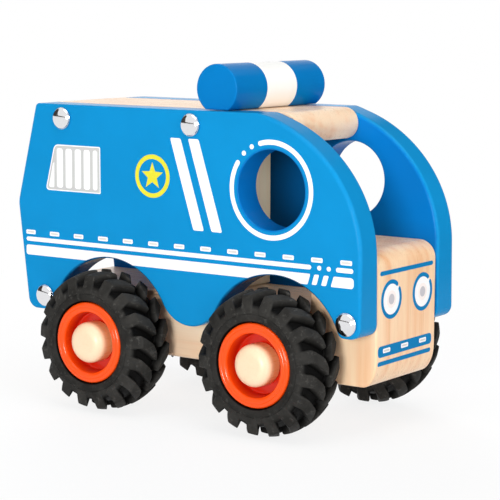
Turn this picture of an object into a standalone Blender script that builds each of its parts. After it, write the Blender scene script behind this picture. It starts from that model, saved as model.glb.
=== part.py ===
"""Wooden toy police car.

Two painted side panels are screwed to a roof board, a chassis block and a bonnet block.
A bulkhead closes the back of the cab and a light bar sits on the roof. Two dowels are glued
through the chassis block as axles. A wheel turns on each end of them, held by a hub cap.

Sizes are in millimetres and the scene is in metres. +X is forward, +Y is the car's left
and +Z is up. The origin is on the floor, under the middle of the car.
"""

import math

import bmesh
import bpy

MM = 0.001
MERGE_DISTANCE = 1e-5
SIDES = {"right": -1, "left": 1}

# Clearances
GAP = 0.25
RUNNING_GAP = 0.3
ARCH_GAP = 2.6
SIDE_PLAY = 1.3

# Wheels and axles
WHEEL_RADIUS = 30.5
AXLE_RADIUS = 4.0
TYRE_OUTSET = 3.6
TYRE_WIDTH = 23.4
TREAD_WIDTH = 17.8
SHOULDER_DROP = 1.8
TYRE_BORE = 16.0
BEAD_SETBACK = 3.7
SIDEWALL_HEIGHT = 3.6
LUG_DEPTH = 3.8
LUGS_PER_SIDE = 17
LUG_SLANT = 13.6
LUG_SHARE = 0.4
TREAD_SPLIT = 1.4
RIM_OUTSET = 11.45
LIP_HEIGHT = 1.5
LIP_WIDTH = 4.4
DISH_DEPTH = 7.5
RIM_WALL = 2.9
FLANGE_THICKNESS = 1.4
BOSS_RADIUS = 7.5
HUB_CAP_RADIUS = 8.8
HUB_CAP_OUTSET = 2.9
HUB_CAP_ROUND = 4.5
AXLE_IN_CAP = 6.0

# Side panels
BODY_WIDTH = 74.5
BOARD = 13.4
EDGE = 1.0
FINE_EDGE = 0.25
PANEL_ABOVE_AXLE = 100.5
ARCH_RISE = 1.75
ARCH_SPACING = 20.1
FRONT_FOOT_LENGTH = 8.3
REAR_FOOT_LENGTH = 19.2
FRONT_FOOT_RISE = 12.4
REAR_FOOT_RISE = 9.0
LOBE_RISE = 9.5
FOOT_RADIUS = 5.0
HEEL_RADIUS = 3.0
NOSE_DROP = 56.4
NOSE_CURVE_LENGTH = 65.4
NOSE_CURVE_OVERSHOOT = 1.8
BULGE_DROP = 44.0
BULGE_RADIUS = 12.0
REAR_TOP_SETBACK = 11.0
REAR_TOP_RADIUS = 2.0
REAR_FOOT_SETBACK = 5.9
WINDOW_RADIUS = 16.4
WINDOW_SETBACK = 43.1
WINDOW_DROP = 30.8

# Chassis, bonnet and bulkhead
CHASSIS_BELOW_AXLE = 7.7
CHASSIS_HEIGHT = 28.3
CHASSIS_NOSE = 8.55
CHASSIS_REAR_SETBACK = 4.6
BONNET_FACE_SETBACK = 0.6
BONNET_BELOW_CHASSIS = 1.8
BONNET_HEIGHT = 55.9
BONNET_BROW_RADIUS = 7.5
BONNET_CHIN_LENGTH = 7.0
BONNET_CHIN_RISE = 12.0
BULKHEAD_SETBACK = 85.0
BULKHEAD_THICKNESS = 10.0

# Roof board and light bar
ROOF_FRONT_SETBACK = 39.6
ROOF_NOSE_RADIUS = 6.0
LIGHT_BAR_RADIUS = 10.3
LIGHT_BAR_LENGTH = 66.6
LIGHT_BAR_FLAT = 1.6
LIGHT_BAR_EDGE = 0.5
LIGHT_BAR_SETBACK = 73.3

# Screws
SCREW_HEAD_RADIUS = 4.75
SCREW_HEAD_HEIGHT = 2.6
SCREW_SHANK_RADIUS = 1.75
SCREW_LENGTH = 28.0
ROOF_SCREW_REAR_SETBACK = 26.6
ROOF_SCREW_FRONT_SETBACK = 83.4
ROOF_SCREW_DROP = 6.1
CHASSIS_SCREW_SETBACK = 16.0
CHASSIS_SCREW_DROP = 5.2
BONNET_SCREW_SETBACK = 6.2
BONNET_SCREW_RISE = 6.1

# Facets
CURVE_STEPS = 14
CORNER_STEPS = 4
WINDOW_STEPS = 32
RIM_STEPS = 24
ROUND_STEPS = 20
SCREW_STEPS = 12

# Places that follow from the sizes above
ARCH_RADIUS = WHEEL_RADIUS + ARCH_GAP
WHEELBASE = 2 * ARCH_RADIUS + ARCH_SPACING
BODY_LENGTH = WHEELBASE + 2 * ARCH_RADIUS + FRONT_FOOT_LENGTH + REAR_FOOT_LENGTH
FRONT = BODY_LENGTH / 2
REAR = -BODY_LENGTH / 2
FRONT_AXLE = FRONT - FRONT_FOOT_LENGTH - ARCH_RADIUS
AXLES = {"front": FRONT_AXLE, "rear": FRONT_AXLE - WHEELBASE}
AXLE_HEIGHT = WHEEL_RADIUS
ARCH_HEIGHT = AXLE_HEIGHT + ARCH_RISE
BODY_TOP = AXLE_HEIGHT + PANEL_ABOVE_AXLE
FRONT_FOOT_HEIGHT = AXLE_HEIGHT + FRONT_FOOT_RISE
REAR_FOOT_HEIGHT = AXLE_HEIGHT + REAR_FOOT_RISE
PANEL_OUTSIDE = BODY_WIDTH / 2
PANEL_INSIDE = PANEL_OUTSIDE - BOARD
BOARD_HALF_WIDTH = PANEL_INSIDE - GAP
CHASSIS_BOTTOM = AXLE_HEIGHT - CHASSIS_BELOW_AXLE
CHASSIS_TOP = CHASSIS_BOTTOM + CHASSIS_HEIGHT
CHASSIS_FRONT = FRONT_AXLE + CHASSIS_NOSE
BONNET_FRONT = FRONT - BONNET_FACE_SETBACK
BONNET_BOTTOM = CHASSIS_BOTTOM - BONNET_BELOW_CHASSIS
BONNET_TOP = BONNET_BOTTOM + BONNET_HEIGHT
ROOF_BOTTOM = BODY_TOP - BOARD
TYRE_CENTRE = PANEL_OUTSIDE + TYRE_OUTSET
BEAD_HALF_WIDTH = TYRE_WIDTH / 2 - BEAD_SETBACK
RIM_RADIUS = TYRE_BORE + LIP_HEIGHT
RIM_FACE = TYRE_CENTRE + RIM_OUTSET
RIM_FLOOR = RIM_FACE - DISH_DEPTH
SCREWS = {
    "roof_rear": (REAR + ROOF_SCREW_REAR_SETBACK, BODY_TOP - ROOF_SCREW_DROP),
    "roof_front": (FRONT - ROOF_SCREW_FRONT_SETBACK, BODY_TOP - ROOF_SCREW_DROP),
    "chassis": (REAR + CHASSIS_SCREW_SETBACK, CHASSIS_TOP - CHASSIS_SCREW_DROP),
    "bonnet": (FRONT - BONNET_SCREW_SETBACK, FRONT_FOOT_HEIGHT + BONNET_SCREW_RISE),
}


def clear_scene():
    for item in list(bpy.data.objects):
        bpy.data.objects.remove(item, do_unlink=True)


def make_material(name, colour, roughness, metallic=0.0):
    material = bpy.data.materials.new(name)
    material.use_nodes = True
    shader = material.node_tree.nodes["Principled BSDF"]
    shader.inputs["Base Color"].default_value = (*colour, 1.0)
    shader.inputs["Roughness"].default_value = roughness
    shader.inputs["Metallic"].default_value = metallic
    return material


def make_empty(name, place):
    empty = bpy.data.objects.new(name, None)
    empty.location = [v * MM for v in place]
    bpy.context.scene.collection.objects.link(empty)
    return empty


def make_object(name, bm, material=None, place=(0, 0, 0), parent=None):
    """Turns a bmesh in millimetres into an object at a place in its parent's frame."""
    bmesh.ops.remove_doubles(bm, verts=bm.verts[:], dist=MERGE_DISTANCE)
    bmesh.ops.recalc_face_normals(bm, faces=bm.faces[:])
    bmesh.ops.scale(bm, vec=(MM, MM, MM), verts=bm.verts[:])
    mesh = bpy.data.meshes.new(name)
    bm.to_mesh(mesh)
    bm.free()
    made = bpy.data.objects.new(name, mesh)
    made.location = [v * MM for v in place]
    made.parent = parent
    if material:
        mesh.materials.append(material)
    bpy.context.scene.collection.objects.link(made)
    return made


def cut(host, cutter):
    """Takes the cutter's shape out of the host, and keeps the cutter out of renders."""
    cutter.hide_render = True
    cutter.display_type = "WIRE"
    cutter.parent = host.parent
    boolean = host.modifiers.new("cut_" + cutter.name, "BOOLEAN")
    boolean.operation = "DIFFERENCE"
    boolean.solver = "EXACT"
    boolean.object = cutter


def arc(centre, radii, start, stop, steps):
    """Points (x, z) of an ellipse's arc, both ends included, with its angles in radians."""
    points = []
    for i in range(steps + 1):
        angle = start + (stop - start) * i / steps
        points.append((centre[0] + radii[0] * math.cos(angle), centre[1] + radii[1] * math.sin(angle)))
    return points


def rounded_corner(before, corner, after, radius):
    """The arc of a radius that joins two straight edges at a corner."""
    to_before = math.atan2(before[1] - corner[1], before[0] - corner[0])
    to_after = math.atan2(after[1] - corner[1], after[0] - corner[0])
    turn = (to_after - to_before + math.pi) % (2 * math.pi) - math.pi
    reach = radius / abs(math.sin(turn / 2))
    middle = to_before + turn / 2
    centre = (corner[0] + reach * math.cos(middle), corner[1] + reach * math.sin(middle))
    start = to_before - math.copysign(math.pi / 2, turn)
    sweep = turn - math.copysign(math.pi, turn)
    return arc(centre, (radius, radius), start, start + sweep, CORNER_STEPS)


def skirt_corner(arch_x, side, height, radius):
    """Centre of the round between a wheel arch and the straight edge at a height beside it."""
    rise = height + radius - ARCH_HEIGHT
    return (arch_x + side * math.sqrt((ARCH_RADIUS + radius) ** 2 - rise**2), height + radius)


def lobe_round():
    """Radius of the round that hangs between the arches and runs smoothly into both of them."""
    half = WHEELBASE / 2
    rise = AXLE_HEIGHT + LOBE_RISE - ARCH_HEIGHT
    return (half**2 + rise**2 - ARCH_RADIUS**2) / (2 * (ARCH_RADIUS - rise))


def heading(start, stop):
    return math.atan2(stop[1] - start[1], stop[0] - start[0])


def panel_outline():
    """The side panel's outline as (x, z) points, clockwise from the rear end of its flat top."""
    nose_centre = (FRONT - NOSE_CURVE_LENGTH, BODY_TOP - NOSE_DROP)
    nose_radii = (NOSE_CURVE_LENGTH, NOSE_DROP + NOSE_CURVE_OVERSHOOT)
    nose_start = math.asin(NOSE_DROP / nose_radii[1])
    front_arch = (AXLES["front"], ARCH_HEIGHT)
    rear_arch = (AXLES["rear"], ARCH_HEIGHT)
    arch_radii = (ARCH_RADIUS, ARCH_RADIUS)
    heel_radii = (HEEL_RADIUS, HEEL_RADIUS)
    front_heel = skirt_corner(front_arch[0], 1, FRONT_FOOT_HEIGHT, HEEL_RADIUS)
    rear_heel = skirt_corner(rear_arch[0], -1, REAR_FOOT_HEIGHT, HEEL_RADIUS)
    lobe_radius = lobe_round()
    lobe = ((front_arch[0] + rear_arch[0]) / 2, AXLE_HEIGHT + LOBE_RISE + lobe_radius)
    lobe_radii = (lobe_radius, lobe_radius)
    down = -math.pi / 2
    rear_top = (REAR + REAR_TOP_SETBACK, BODY_TOP)
    bulge = (REAR, BODY_TOP - BULGE_DROP)
    rear_foot = (REAR + REAR_FOOT_SETBACK, REAR_FOOT_HEIGHT)
    front_foot = (FRONT, FRONT_FOOT_HEIGHT)

    points = arc(nose_centre, nose_radii, nose_start, 0, CURVE_STEPS)
    front_edge = (front_heel[0], FRONT_FOOT_HEIGHT)
    points += rounded_corner((FRONT, nose_centre[1]), front_foot, front_edge, FOOT_RADIUS)
    points += arc(front_heel, heel_radii, down, heading(front_heel, front_arch), CORNER_STEPS)
    arch_start = heading(front_arch, front_heel)
    points += arc(front_arch, arch_radii, arch_start, heading(front_arch, lobe), CURVE_STEPS)[1:]
    lobe_start = heading(lobe, front_arch)
    lobe_end = heading(lobe, rear_arch)
    points += arc(lobe, lobe_radii, lobe_start, lobe_end, 2 * CORNER_STEPS)[1:]
    arch_start = heading(rear_arch, lobe)
    points += arc(rear_arch, arch_radii, arch_start, heading(rear_arch, rear_heel), CURVE_STEPS)[1:]
    points += arc(rear_heel, heel_radii, heading(rear_heel, rear_arch), down, CORNER_STEPS)[1:]
    rear_edge = (rear_heel[0], REAR_FOOT_HEIGHT)
    points += rounded_corner(rear_edge, rear_foot, bulge, FOOT_RADIUS)
    points += rounded_corner(rear_foot, bulge, rear_top, BULGE_RADIUS)
    points += rounded_corner(bulge, rear_top, (FRONT, BODY_TOP), REAR_TOP_RADIUS)
    return points


def prism(outline, half_width, edge=EDGE):
    """A board with an (x, z) outline, thick along Y, whose two faces have chamfered edges."""
    bm = bmesh.new()
    face = bm.faces.new([bm.verts.new((x, edge - half_width, z)) for x, z in outline])
    pushed = bmesh.ops.extrude_face_region(bm, geom=[face], use_keep_orig=True)["geom"]
    moved = [v for v in pushed if isinstance(v, bmesh.types.BMVert)]
    bmesh.ops.translate(bm, verts=moved, vec=(0, 2 * (half_width - edge), 0))
    bmesh.ops.recalc_face_normals(bm, faces=bm.faces[:])
    caps = [f for f in bm.faces if abs(f.normal.y) > 0.5]
    for cap in caps:
        bmesh.ops.inset_region(bm, faces=[cap], thickness=edge, depth=edge, use_even_offset=True)
    return bm


def turned(profile, steps, closed=False):
    """A solid of revolution about the Y axis from (radius, y) points."""
    bm = bmesh.new()
    verts = [bm.verts.new((radius, y, 0)) for radius, y in profile]
    pairs = list(zip(verts, verts[1:]))
    if closed:
        pairs.append((verts[-1], verts[0]))
    edges = [bm.edges.new(pair) for pair in pairs]
    bmesh.ops.spin(bm, geom=verts + edges, cent=(0, 0, 0), axis=(0, 1, 0), angle=2 * math.pi,
                   steps=steps, use_merge=True)
    bmesh.ops.remove_doubles(bm, verts=bm.verts[:], dist=MERGE_DISTANCE)
    return bm


def drill(name, radius, start, stop, place, steps):
    """A cylinder along Y between two y values, at an (x, z) place, to cut a hole with."""
    bm = turned([(0, start), (radius, start), (radius, stop), (0, stop)], steps)
    return make_object(name, bm, None, (place[0], 0, place[1]))


def side_panel(name, side, parent):
    """One painted side panel, with its round window and its four screw holes."""
    middle = side * (PANEL_OUTSIDE - BOARD / 2)
    board = prism(panel_outline(), BOARD / 2)
    panel = make_object(name, board, MATERIALS["blue_paint"], (0, middle, 0), parent)
    straight = BOARD / 2 - EDGE
    over = BOARD / 2 + EDGE
    flare = WINDOW_RADIUS + over - straight
    profile = [(0, -over), (flare, -over), (WINDOW_RADIUS, -straight)]
    profile += [(WINDOW_RADIUS, straight), (flare, over), (0, over)]
    place = (FRONT - WINDOW_SETBACK, middle, BODY_TOP - WINDOW_DROP)
    window = make_object("cutter_window_" + name, turned(profile, WINDOW_STEPS), None, place)
    cut(panel, window)
    inside = side * (PANEL_INSIDE - EDGE)
    outside = side * (PANEL_OUTSIDE + EDGE)
    for screw, spot in SCREWS.items():
        cutter_name = f"cutter_{screw}_{name}"
        cut(panel, drill(cutter_name, SCREW_SHANK_RADIUS + GAP, inside, outside, spot, SCREW_STEPS))


def pilot_holes(host, names):
    """Blind holes for the screws that hold a board between the two panels."""
    radius = SCREW_SHANK_RADIUS + GAP
    for name in names:
        for side_name, side in SIDES.items():
            bottom = side * (PANEL_OUTSIDE - SCREW_LENGTH)
            mouth = side * (PANEL_INSIDE + EDGE)
            cutter_name = f"cutter_pilot_{name}_{side_name}"
            cut(host, drill(cutter_name, radius, bottom, mouth, SCREWS[name], SCREW_STEPS))


def roof_board(parent):
    """The roof, with a round nose at its front edge."""
    front = FRONT - ROOF_FRONT_SETBACK
    rear = REAR + REAR_TOP_SETBACK
    corners = [(rear, ROOF_BOTTOM), (rear, BODY_TOP), (front, BODY_TOP), (front, ROOF_BOTTOM)]
    outline = [corners[0], corners[1]]
    nose = min(ROOF_NOSE_RADIUS, BOARD / 2 - FINE_EDGE)
    outline += rounded_corner(corners[1], corners[2], corners[3], nose)
    outline += rounded_corner(corners[2], corners[3], corners[0], nose)
    shape = prism(outline, BOARD_HALF_WIDTH, FINE_EDGE)
    board = make_object("roof_board", shape, MATERIALS["bare_wood"], parent=parent)
    pilot_holes(board, ["roof_rear", "roof_front"])


def bulkhead(parent):
    """The upright board behind the cab, between the chassis and the roof."""
    front = FRONT - BULKHEAD_SETBACK
    rear = front - BULKHEAD_THICKNESS
    bottom = CHASSIS_TOP + GAP
    top = ROOF_BOTTOM - GAP
    outline = [(rear, bottom), (rear, top), (front, top), (front, bottom)]
    shape = prism(outline, BOARD_HALF_WIDTH, FINE_EDGE)
    make_object("bulkhead", shape, MATERIALS["bare_wood"], parent=parent)


def chassis_block(parent):
    """The floor block, with a through bore for each axle."""
    front = CHASSIS_FRONT
    rear = REAR + CHASSIS_REAR_SETBACK
    outline = [(rear, CHASSIS_BOTTOM), (rear, CHASSIS_TOP), (front, CHASSIS_TOP), (front, CHASSIS_BOTTOM)]
    shape = prism(outline, BOARD_HALF_WIDTH)
    block = make_object("chassis_block", shape, MATERIALS["bare_wood"], parent=parent)
    radius = AXLE_RADIUS + GAP
    for name, x in AXLES.items():
        place = (x, AXLE_HEIGHT)
        cut(block, drill(f"cutter_bore_{name}", radius, -PANEL_OUTSIDE, PANEL_OUTSIDE, place, ROUND_STEPS))
    pilot_holes(block, ["chassis"])


def bonnet_block(parent):
    """The front block, rounded at its brow and its chin."""
    brow_centre = (BONNET_FRONT - BONNET_BROW_RADIUS, BONNET_TOP - BONNET_BROW_RADIUS)
    chin_centre = (BONNET_FRONT - BONNET_CHIN_LENGTH, BONNET_BOTTOM + BONNET_CHIN_RISE)
    rear = CHASSIS_FRONT + GAP
    outline = [(rear, BONNET_BOTTOM), (rear, BONNET_TOP)]
    outline += arc(brow_centre, (BONNET_BROW_RADIUS, BONNET_BROW_RADIUS), math.pi / 2, 0, 2 * CORNER_STEPS)
    outline += arc(chin_centre, (BONNET_CHIN_LENGTH, BONNET_CHIN_RISE), 0, -math.pi / 2, 2 * CORNER_STEPS)
    shape = prism(outline, BOARD_HALF_WIDTH)
    block = make_object("bonnet_block", shape, MATERIALS["bare_wood"], parent=parent)
    pilot_holes(block, ["bonnet"])


def light_bar(parent):
    """The painted dowel across the roof, planed flat where it sits."""
    rise = LIGHT_BAR_RADIUS - LIGHT_BAR_FLAT
    angle = math.asin(rise / LIGHT_BAR_RADIUS)
    place = (FRONT - LIGHT_BAR_SETBACK, 0, BODY_TOP + GAP + rise)
    outline = arc((0, 0), (LIGHT_BAR_RADIUS, LIGHT_BAR_RADIUS), math.pi + angle, -angle, ROUND_STEPS)
    shape = prism(outline, LIGHT_BAR_LENGTH / 2, LIGHT_BAR_EDGE)
    make_object("light_bar", shape, MATERIALS["light_bar_paint"], place, parent)


def cap_screw(name, side, place, parent):
    """A chrome screw with a domed head, driven through a side panel."""
    seat = PANEL_OUTSIDE + GAP
    profile = [(0, seat - SCREW_LENGTH), (SCREW_SHANK_RADIUS, seat - SCREW_LENGTH + SCREW_SHANK_RADIUS)]
    profile.append((SCREW_SHANK_RADIUS, seat))
    profile += arc((0, seat), (SCREW_HEAD_RADIUS, SCREW_HEAD_HEIGHT), 0, math.pi / 2, CORNER_STEPS)
    profile[-1] = (0, seat + SCREW_HEAD_HEIGHT)
    outward = [(radius, side * y) for radius, y in profile]
    make_object(name, turned(outward, SCREW_STEPS), MATERIALS["chrome"], (place[0], 0, place[1]), parent)


def axle(name, place, parent):
    """The wooden dowel through the chassis block that two wheels turn on."""
    half = RIM_FLOOR + AXLE_IN_CAP
    profile = [(0, -half), (AXLE_RADIUS, -half), (AXLE_RADIUS, half), (0, half)]
    make_object(name, turned(profile, ROUND_STEPS), MATERIALS["bare_wood"], place, parent)


def rim(name, side, wheel):
    """The deep-dish plastic rim, with a rolled lip and a boss that keeps it off the chassis."""
    bore = AXLE_RADIUS + RUNNING_GAP
    boss_end = BOARD_HALF_WIDTH + SIDE_PLAY
    barrel = TYRE_BORE - GAP
    dish = RIM_RADIUS - LIP_WIDTH
    hollow = barrel - RIM_WALL
    web_back = RIM_FLOOR - RIM_WALL
    flange = TYRE_CENTRE - BEAD_HALF_WIDTH - GAP
    flange_back = flange - FLANGE_THICKNESS
    lip_start = TYRE_CENTRE + BEAD_HALF_WIDTH + GAP
    roll = (RIM_FACE - lip_start) / 2
    profile = [(bore, boss_end), (BOSS_RADIUS, boss_end), (BOSS_RADIUS, web_back), (hollow, web_back)]
    profile += [(hollow, flange_back), (RIM_RADIUS, flange_back), (RIM_RADIUS, flange)]
    profile += [(barrel, flange), (barrel, lip_start)]
    quarter = math.pi / 2
    profile += arc((RIM_RADIUS - roll, RIM_FACE - roll), (roll, roll), -quarter, quarter, CORNER_STEPS)
    profile += arc((dish + roll, RIM_FACE - roll), (roll, roll), quarter, math.pi, CORNER_STEPS // 2)
    profile += [(hollow, RIM_FLOOR), (bore, RIM_FLOOR)]
    outward = [(radius, side * y) for radius, y in profile]
    make_object(name, turned(outward, RIM_STEPS, closed=True), MATERIALS["orange_plastic"], parent=wheel)


def tyre(name, side, wheel):
    """The rubber tyre: a closed grid round the wheel whose tread columns rise in turn on each half.

    Its sidewalls stand round the rim's lip and flange. Each pitch holds one lug of each half. A
    column's angle grows with the distance from the middle of the tread, so that the lugs lie in a
    chevron. The first lug stands on the floor.
    """
    half_width = TYRE_WIDTH / 2
    half_tread = TREAD_WIDTH / 2
    groove = WHEEL_RADIUS - LUG_DEPTH
    bead = RIM_RADIUS + GAP
    flank = bead + SIDEWALL_HEIGHT
    split = TREAD_SPLIT / 2
    # Rows of half the section, from the bore to the middle: radius, distance out, and whether lugs raise it.
    rows = [(TYRE_BORE, BEAD_HALF_WIDTH, False), (bead, BEAD_HALF_WIDTH, False), (bead, half_width, False)]
    rows += [(flank, half_width, False), (groove - SHOULDER_DROP, half_tread, True), (groove, split, True)]
    section = [(radius, -out, raised, -1) for radius, out, raised in rows]
    section += [(radius, out, raised, 1) for radius, out, raised in reversed(rows)]
    pitch = 360 / LUGS_PER_SIDE
    columns = [(0.0, -1), (LUG_SHARE, -1), (0.5, 1), (0.5 + LUG_SHARE, 1)]
    bm = bmesh.new()
    rings = []
    for lug in range(LUGS_PER_SIDE):
        for share, raised_half in columns:
            ring = []
            for radius, out, raised, half in section:
                height = radius + LUG_DEPTH * (raised and half == raised_half)
                slant = LUG_SLANT * min(1, abs(out) / half_tread)
                angle = math.radians(pitch * (lug + share) + slant - 90)
                y = side * (TYRE_CENTRE + out)
                ring.append(bm.verts.new((height * math.cos(angle), y, height * math.sin(angle))))
            rings.append(ring)
    count = len(section)
    for ring, after in zip(rings, rings[1:] + rings[:1]):
        for i in range(count):
            j = (i + 1) % count
            bm.faces.new((ring[i], ring[j], after[j], after[i]))
    make_object(name, bm, MATERIALS["black_rubber"], parent=wheel)


def hub_cap(name, side, place, parent):
    """The turned wooden cap glued over the end of an axle, which keeps the wheel on."""
    back = RIM_FLOOR + RUNNING_GAP
    face = RIM_FACE + HUB_CAP_OUTSET
    hole = AXLE_RADIUS + GAP
    hole_end = RIM_FLOOR + AXLE_IN_CAP + GAP
    shoulder = (HUB_CAP_RADIUS - HUB_CAP_ROUND, face - HUB_CAP_ROUND)
    profile = [(0, hole_end), (hole, hole_end), (hole, back), (HUB_CAP_RADIUS, back)]
    profile += arc(shoulder, (HUB_CAP_ROUND, HUB_CAP_ROUND), 0, math.pi / 2, CORNER_STEPS)
    profile.append((0, face))
    outward = [(radius, side * y) for radius, y in profile]
    make_object(name, turned(outward, ROUND_STEPS), MATERIALS["bare_wood"], place, parent)


def main():
    body = make_empty("body", (0, 0, 0))
    roof_board(body)
    bulkhead(body)
    chassis_block(body)
    bonnet_block(body)
    light_bar(body)
    for side_name, side in SIDES.items():
        side_panel(f"{side_name}_side_panel", side, body)
        for screw, place in SCREWS.items():
            cap_screw(f"{side_name}_{screw}_screw", side, place, body)
    for end, x in AXLES.items():
        place = (x, 0, AXLE_HEIGHT)
        axle(f"{end}_axle", place, body)
        for side_name, side in SIDES.items():
            wheel = make_empty(f"{end}_{side_name}_wheel", place)
            rim(f"{end}_{side_name}_rim", side, wheel)
            tyre(f"{end}_{side_name}_tyre", side, wheel)
            hub_cap(f"{end}_{side_name}_hub_cap", side, place, body)


clear_scene()
MATERIALS = {
    "blue_paint": make_material("blue_paint", (0.01, 0.32, 0.73), 0.35),
    "light_bar_paint": make_material("light_bar_paint", (0.01, 0.20, 0.50), 0.35),
    "bare_wood": make_material("bare_wood", (0.82, 0.62, 0.40), 0.6),
    "chrome": make_material("chrome", (0.8, 0.8, 0.8), 0.12, 1.0),
    "orange_plastic": make_material("orange_plastic", (0.95, 0.08, 0.01), 0.3),
    "black_rubber": make_material("black_rubber", (0.025, 0.025, 0.024), 0.7),
}
main()
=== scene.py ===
"""Looks of a wooden toy police car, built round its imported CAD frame.

Each rigid piece is remade as a smooth surface in the place of its CAD node: boards and blocks
are outlines swept through a rounded edge, turned pieces are profiles carried round the Y axis,
and tyres are closed grids whose lugs rise from a carcass. Prints are thin sheets on the paint.

Lengths are in metres. +X is forward, +Y is the car's left and +Z is up.
"""

import math

import bpy
import numpy as np
from bpy.props import FloatProperty, FloatVectorProperty, IntProperty, PointerProperty
from mathutils import Matrix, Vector
from mathutils.geometry import tessellate_polygon


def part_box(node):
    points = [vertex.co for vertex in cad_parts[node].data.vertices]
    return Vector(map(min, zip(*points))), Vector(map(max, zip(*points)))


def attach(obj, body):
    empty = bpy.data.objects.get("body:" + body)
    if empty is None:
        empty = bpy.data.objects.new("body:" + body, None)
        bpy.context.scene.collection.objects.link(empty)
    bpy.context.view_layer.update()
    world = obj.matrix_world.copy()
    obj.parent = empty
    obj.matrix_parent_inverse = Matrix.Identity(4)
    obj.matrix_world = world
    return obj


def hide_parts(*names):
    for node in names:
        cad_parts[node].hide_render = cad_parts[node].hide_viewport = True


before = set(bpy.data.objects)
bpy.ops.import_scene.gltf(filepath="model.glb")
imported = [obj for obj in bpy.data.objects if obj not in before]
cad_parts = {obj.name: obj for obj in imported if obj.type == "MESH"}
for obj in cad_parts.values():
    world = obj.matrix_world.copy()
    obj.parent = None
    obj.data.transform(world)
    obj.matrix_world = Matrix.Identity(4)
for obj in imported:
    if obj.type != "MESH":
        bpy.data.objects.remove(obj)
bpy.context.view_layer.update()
MM = 0.001
SIDES = {"right": -1, "left": 1}
ENDS = ("front", "rear")
WHEELS = tuple((f"{end}_{side}", end, sign) for end in ENDS for side, sign in SIDES.items())

bl_info = {
    "name": "Wooden toy police car",
    "version": (1, 0, 0),
    "blender": (4, 5, 0),
    "location": "View3D > Sidebar > Toy car",
    "description": "Builds the looks of a wooden toy police car round its CAD frame",
    "category": "Object",
}


def length(name, millimetres, description):
    """A length property in metres, with its default given in millimetres."""
    return FloatProperty(name=name, description=description, default=millimetres / 1000, unit="LENGTH",
                         subtype="DISTANCE", precision=5)


def degrees(name, angle, description):
    """An angle property, with its default given in degrees."""
    return FloatProperty(name=name, description=description, default=math.radians(angle), unit="ROTATION",
                         subtype="ANGLE")


def amount(name, value, description):
    """A plain number property."""
    return FloatProperty(name=name, description=description, default=value, precision=3)


def count(name, value, description):
    """A whole number property."""
    return IntProperty(name=name, description=description, default=value, min=1)


def colour(name, red, green, blue, description):
    """A colour property whose default is given as 0 to 255 values on the screen."""
    screen = np.array([red, green, blue]) / 255
    linear = np.where(screen <= 0.04045, screen / 12.92, ((screen + 0.055) / 1.055) ** 2.4)
    return FloatVectorProperty(name=name, description=description, default=tuple(linear), subtype="COLOR",
                               size=3, min=0, max=1)


class PanelSizes(bpy.types.PropertyGroup):
    """Outline of the side panels, as the CAD model draws it."""

    nose_drop: length("Nose drop", 56.4, "Height from the end of the nose curve to the roof line")
    nose_length: length("Nose length", 65.4, "Length of the nose curve's half axis")
    nose_overshoot: length("Nose overshoot", 1.8, "How far the nose curve's crest would pass the roof line")
    bulge_drop: length("Bulge drop", 44.0, "Height from the rear bulge to the roof line")
    bulge_radius: length("Bulge radius", 12.0, "Round of the rear bulge")
    rear_top_setback: length("Rear top setback", 11.0, "Length from the rear bulge to the roof line's end")
    rear_top_radius: length("Rear top radius", 2.0, "Round of the rear top corner")
    rear_foot_setback: length("Rear foot setback", 5.9, "Length from the rear bulge to the rear foot")
    rear_foot_height: length("Rear foot height", 39.5, "Height of the rear foot above the floor")
    front_foot_height: length("Front foot height", 42.9, "Height of the front foot above the floor")
    foot_radius: length("Foot radius", 5.0, "Round of the feet")
    heel_radius: length("Heel radius", 3.0, "Round between a foot and its wheel arch")
    lobe_height: length("Lobe height", 40.0, "Height of the skirt between the arches")
    arch_radius: length("Arch radius", 33.1, "Radius of the wheel arches")
    arch_rise: length("Arch rise", 1.75, "Height of an arch's centre above the axle")
    window_radius: length("Window radius", 16.4, "Radius of the round window")
    window_setback: length("Window setback", 43.1, "Length from the nose to the window's centre")
    window_drop: length("Window drop", 30.8, "Height from the window's centre to the roof line")
    edge: length("Edge", 1.0, "Round of the panel's lower and rear edges")
    top_edge: length("Top edge", 0.4, "Round of the edges along the flat top")
    nose_edge: length("Nose edge", 1.8, "Round of the edges along the nose curve")
    nose_blend: length("Nose blend", 7.0, "Length over which the top's round grows into the nose's")
    window_edge: length("Window edge", 0.5, "Round of the window's edges")


class BlockSizes(bpy.types.PropertyGroup):
    """Rounds of the bare wooden pieces and the light bar."""

    roof_nose: length("Roof nose", 6.45, "Round of the roof's front edge")
    roof_edge: length("Roof edge", 0.5, "Round of the roof's long edges")
    chassis_corner: length("Chassis corner", 1.6, "Round of the floor block's cross edges")
    chassis_edge: length("Chassis edge", 2.0, "Round of the floor block's long edges")
    axle_bore: length("Axle bore", 4.25, "Radius of the bores that hold the axles")
    bonnet_brow: length("Bonnet brow", 7.5, "Round over the top of the bonnet's face")
    bonnet_chin_length: length("Chin length", 7.0, "Length of the curve under the bonnet's face")
    bonnet_chin_rise: length("Chin rise", 12.0, "Height of the curve under the bonnet's face")
    bonnet_edge: length("Bonnet edge", 0.9, "Round of the bonnet's side edges")
    bulkhead_edge: length("Bulkhead edge", 0.4, "Round of the bulkhead's edges")
    bar_radius: length("Light bar radius", 10.3, "Radius of the light bar")
    bar_flat: length("Light bar flat", 1.6, "Depth planed off the underside of the light bar")
    bar_edge: length("Light bar edge", 0.55, "Round of the light bar's ends")
    bar_band: length("White band", 22.2, "Length of the white band in the middle of the light bar")


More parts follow.
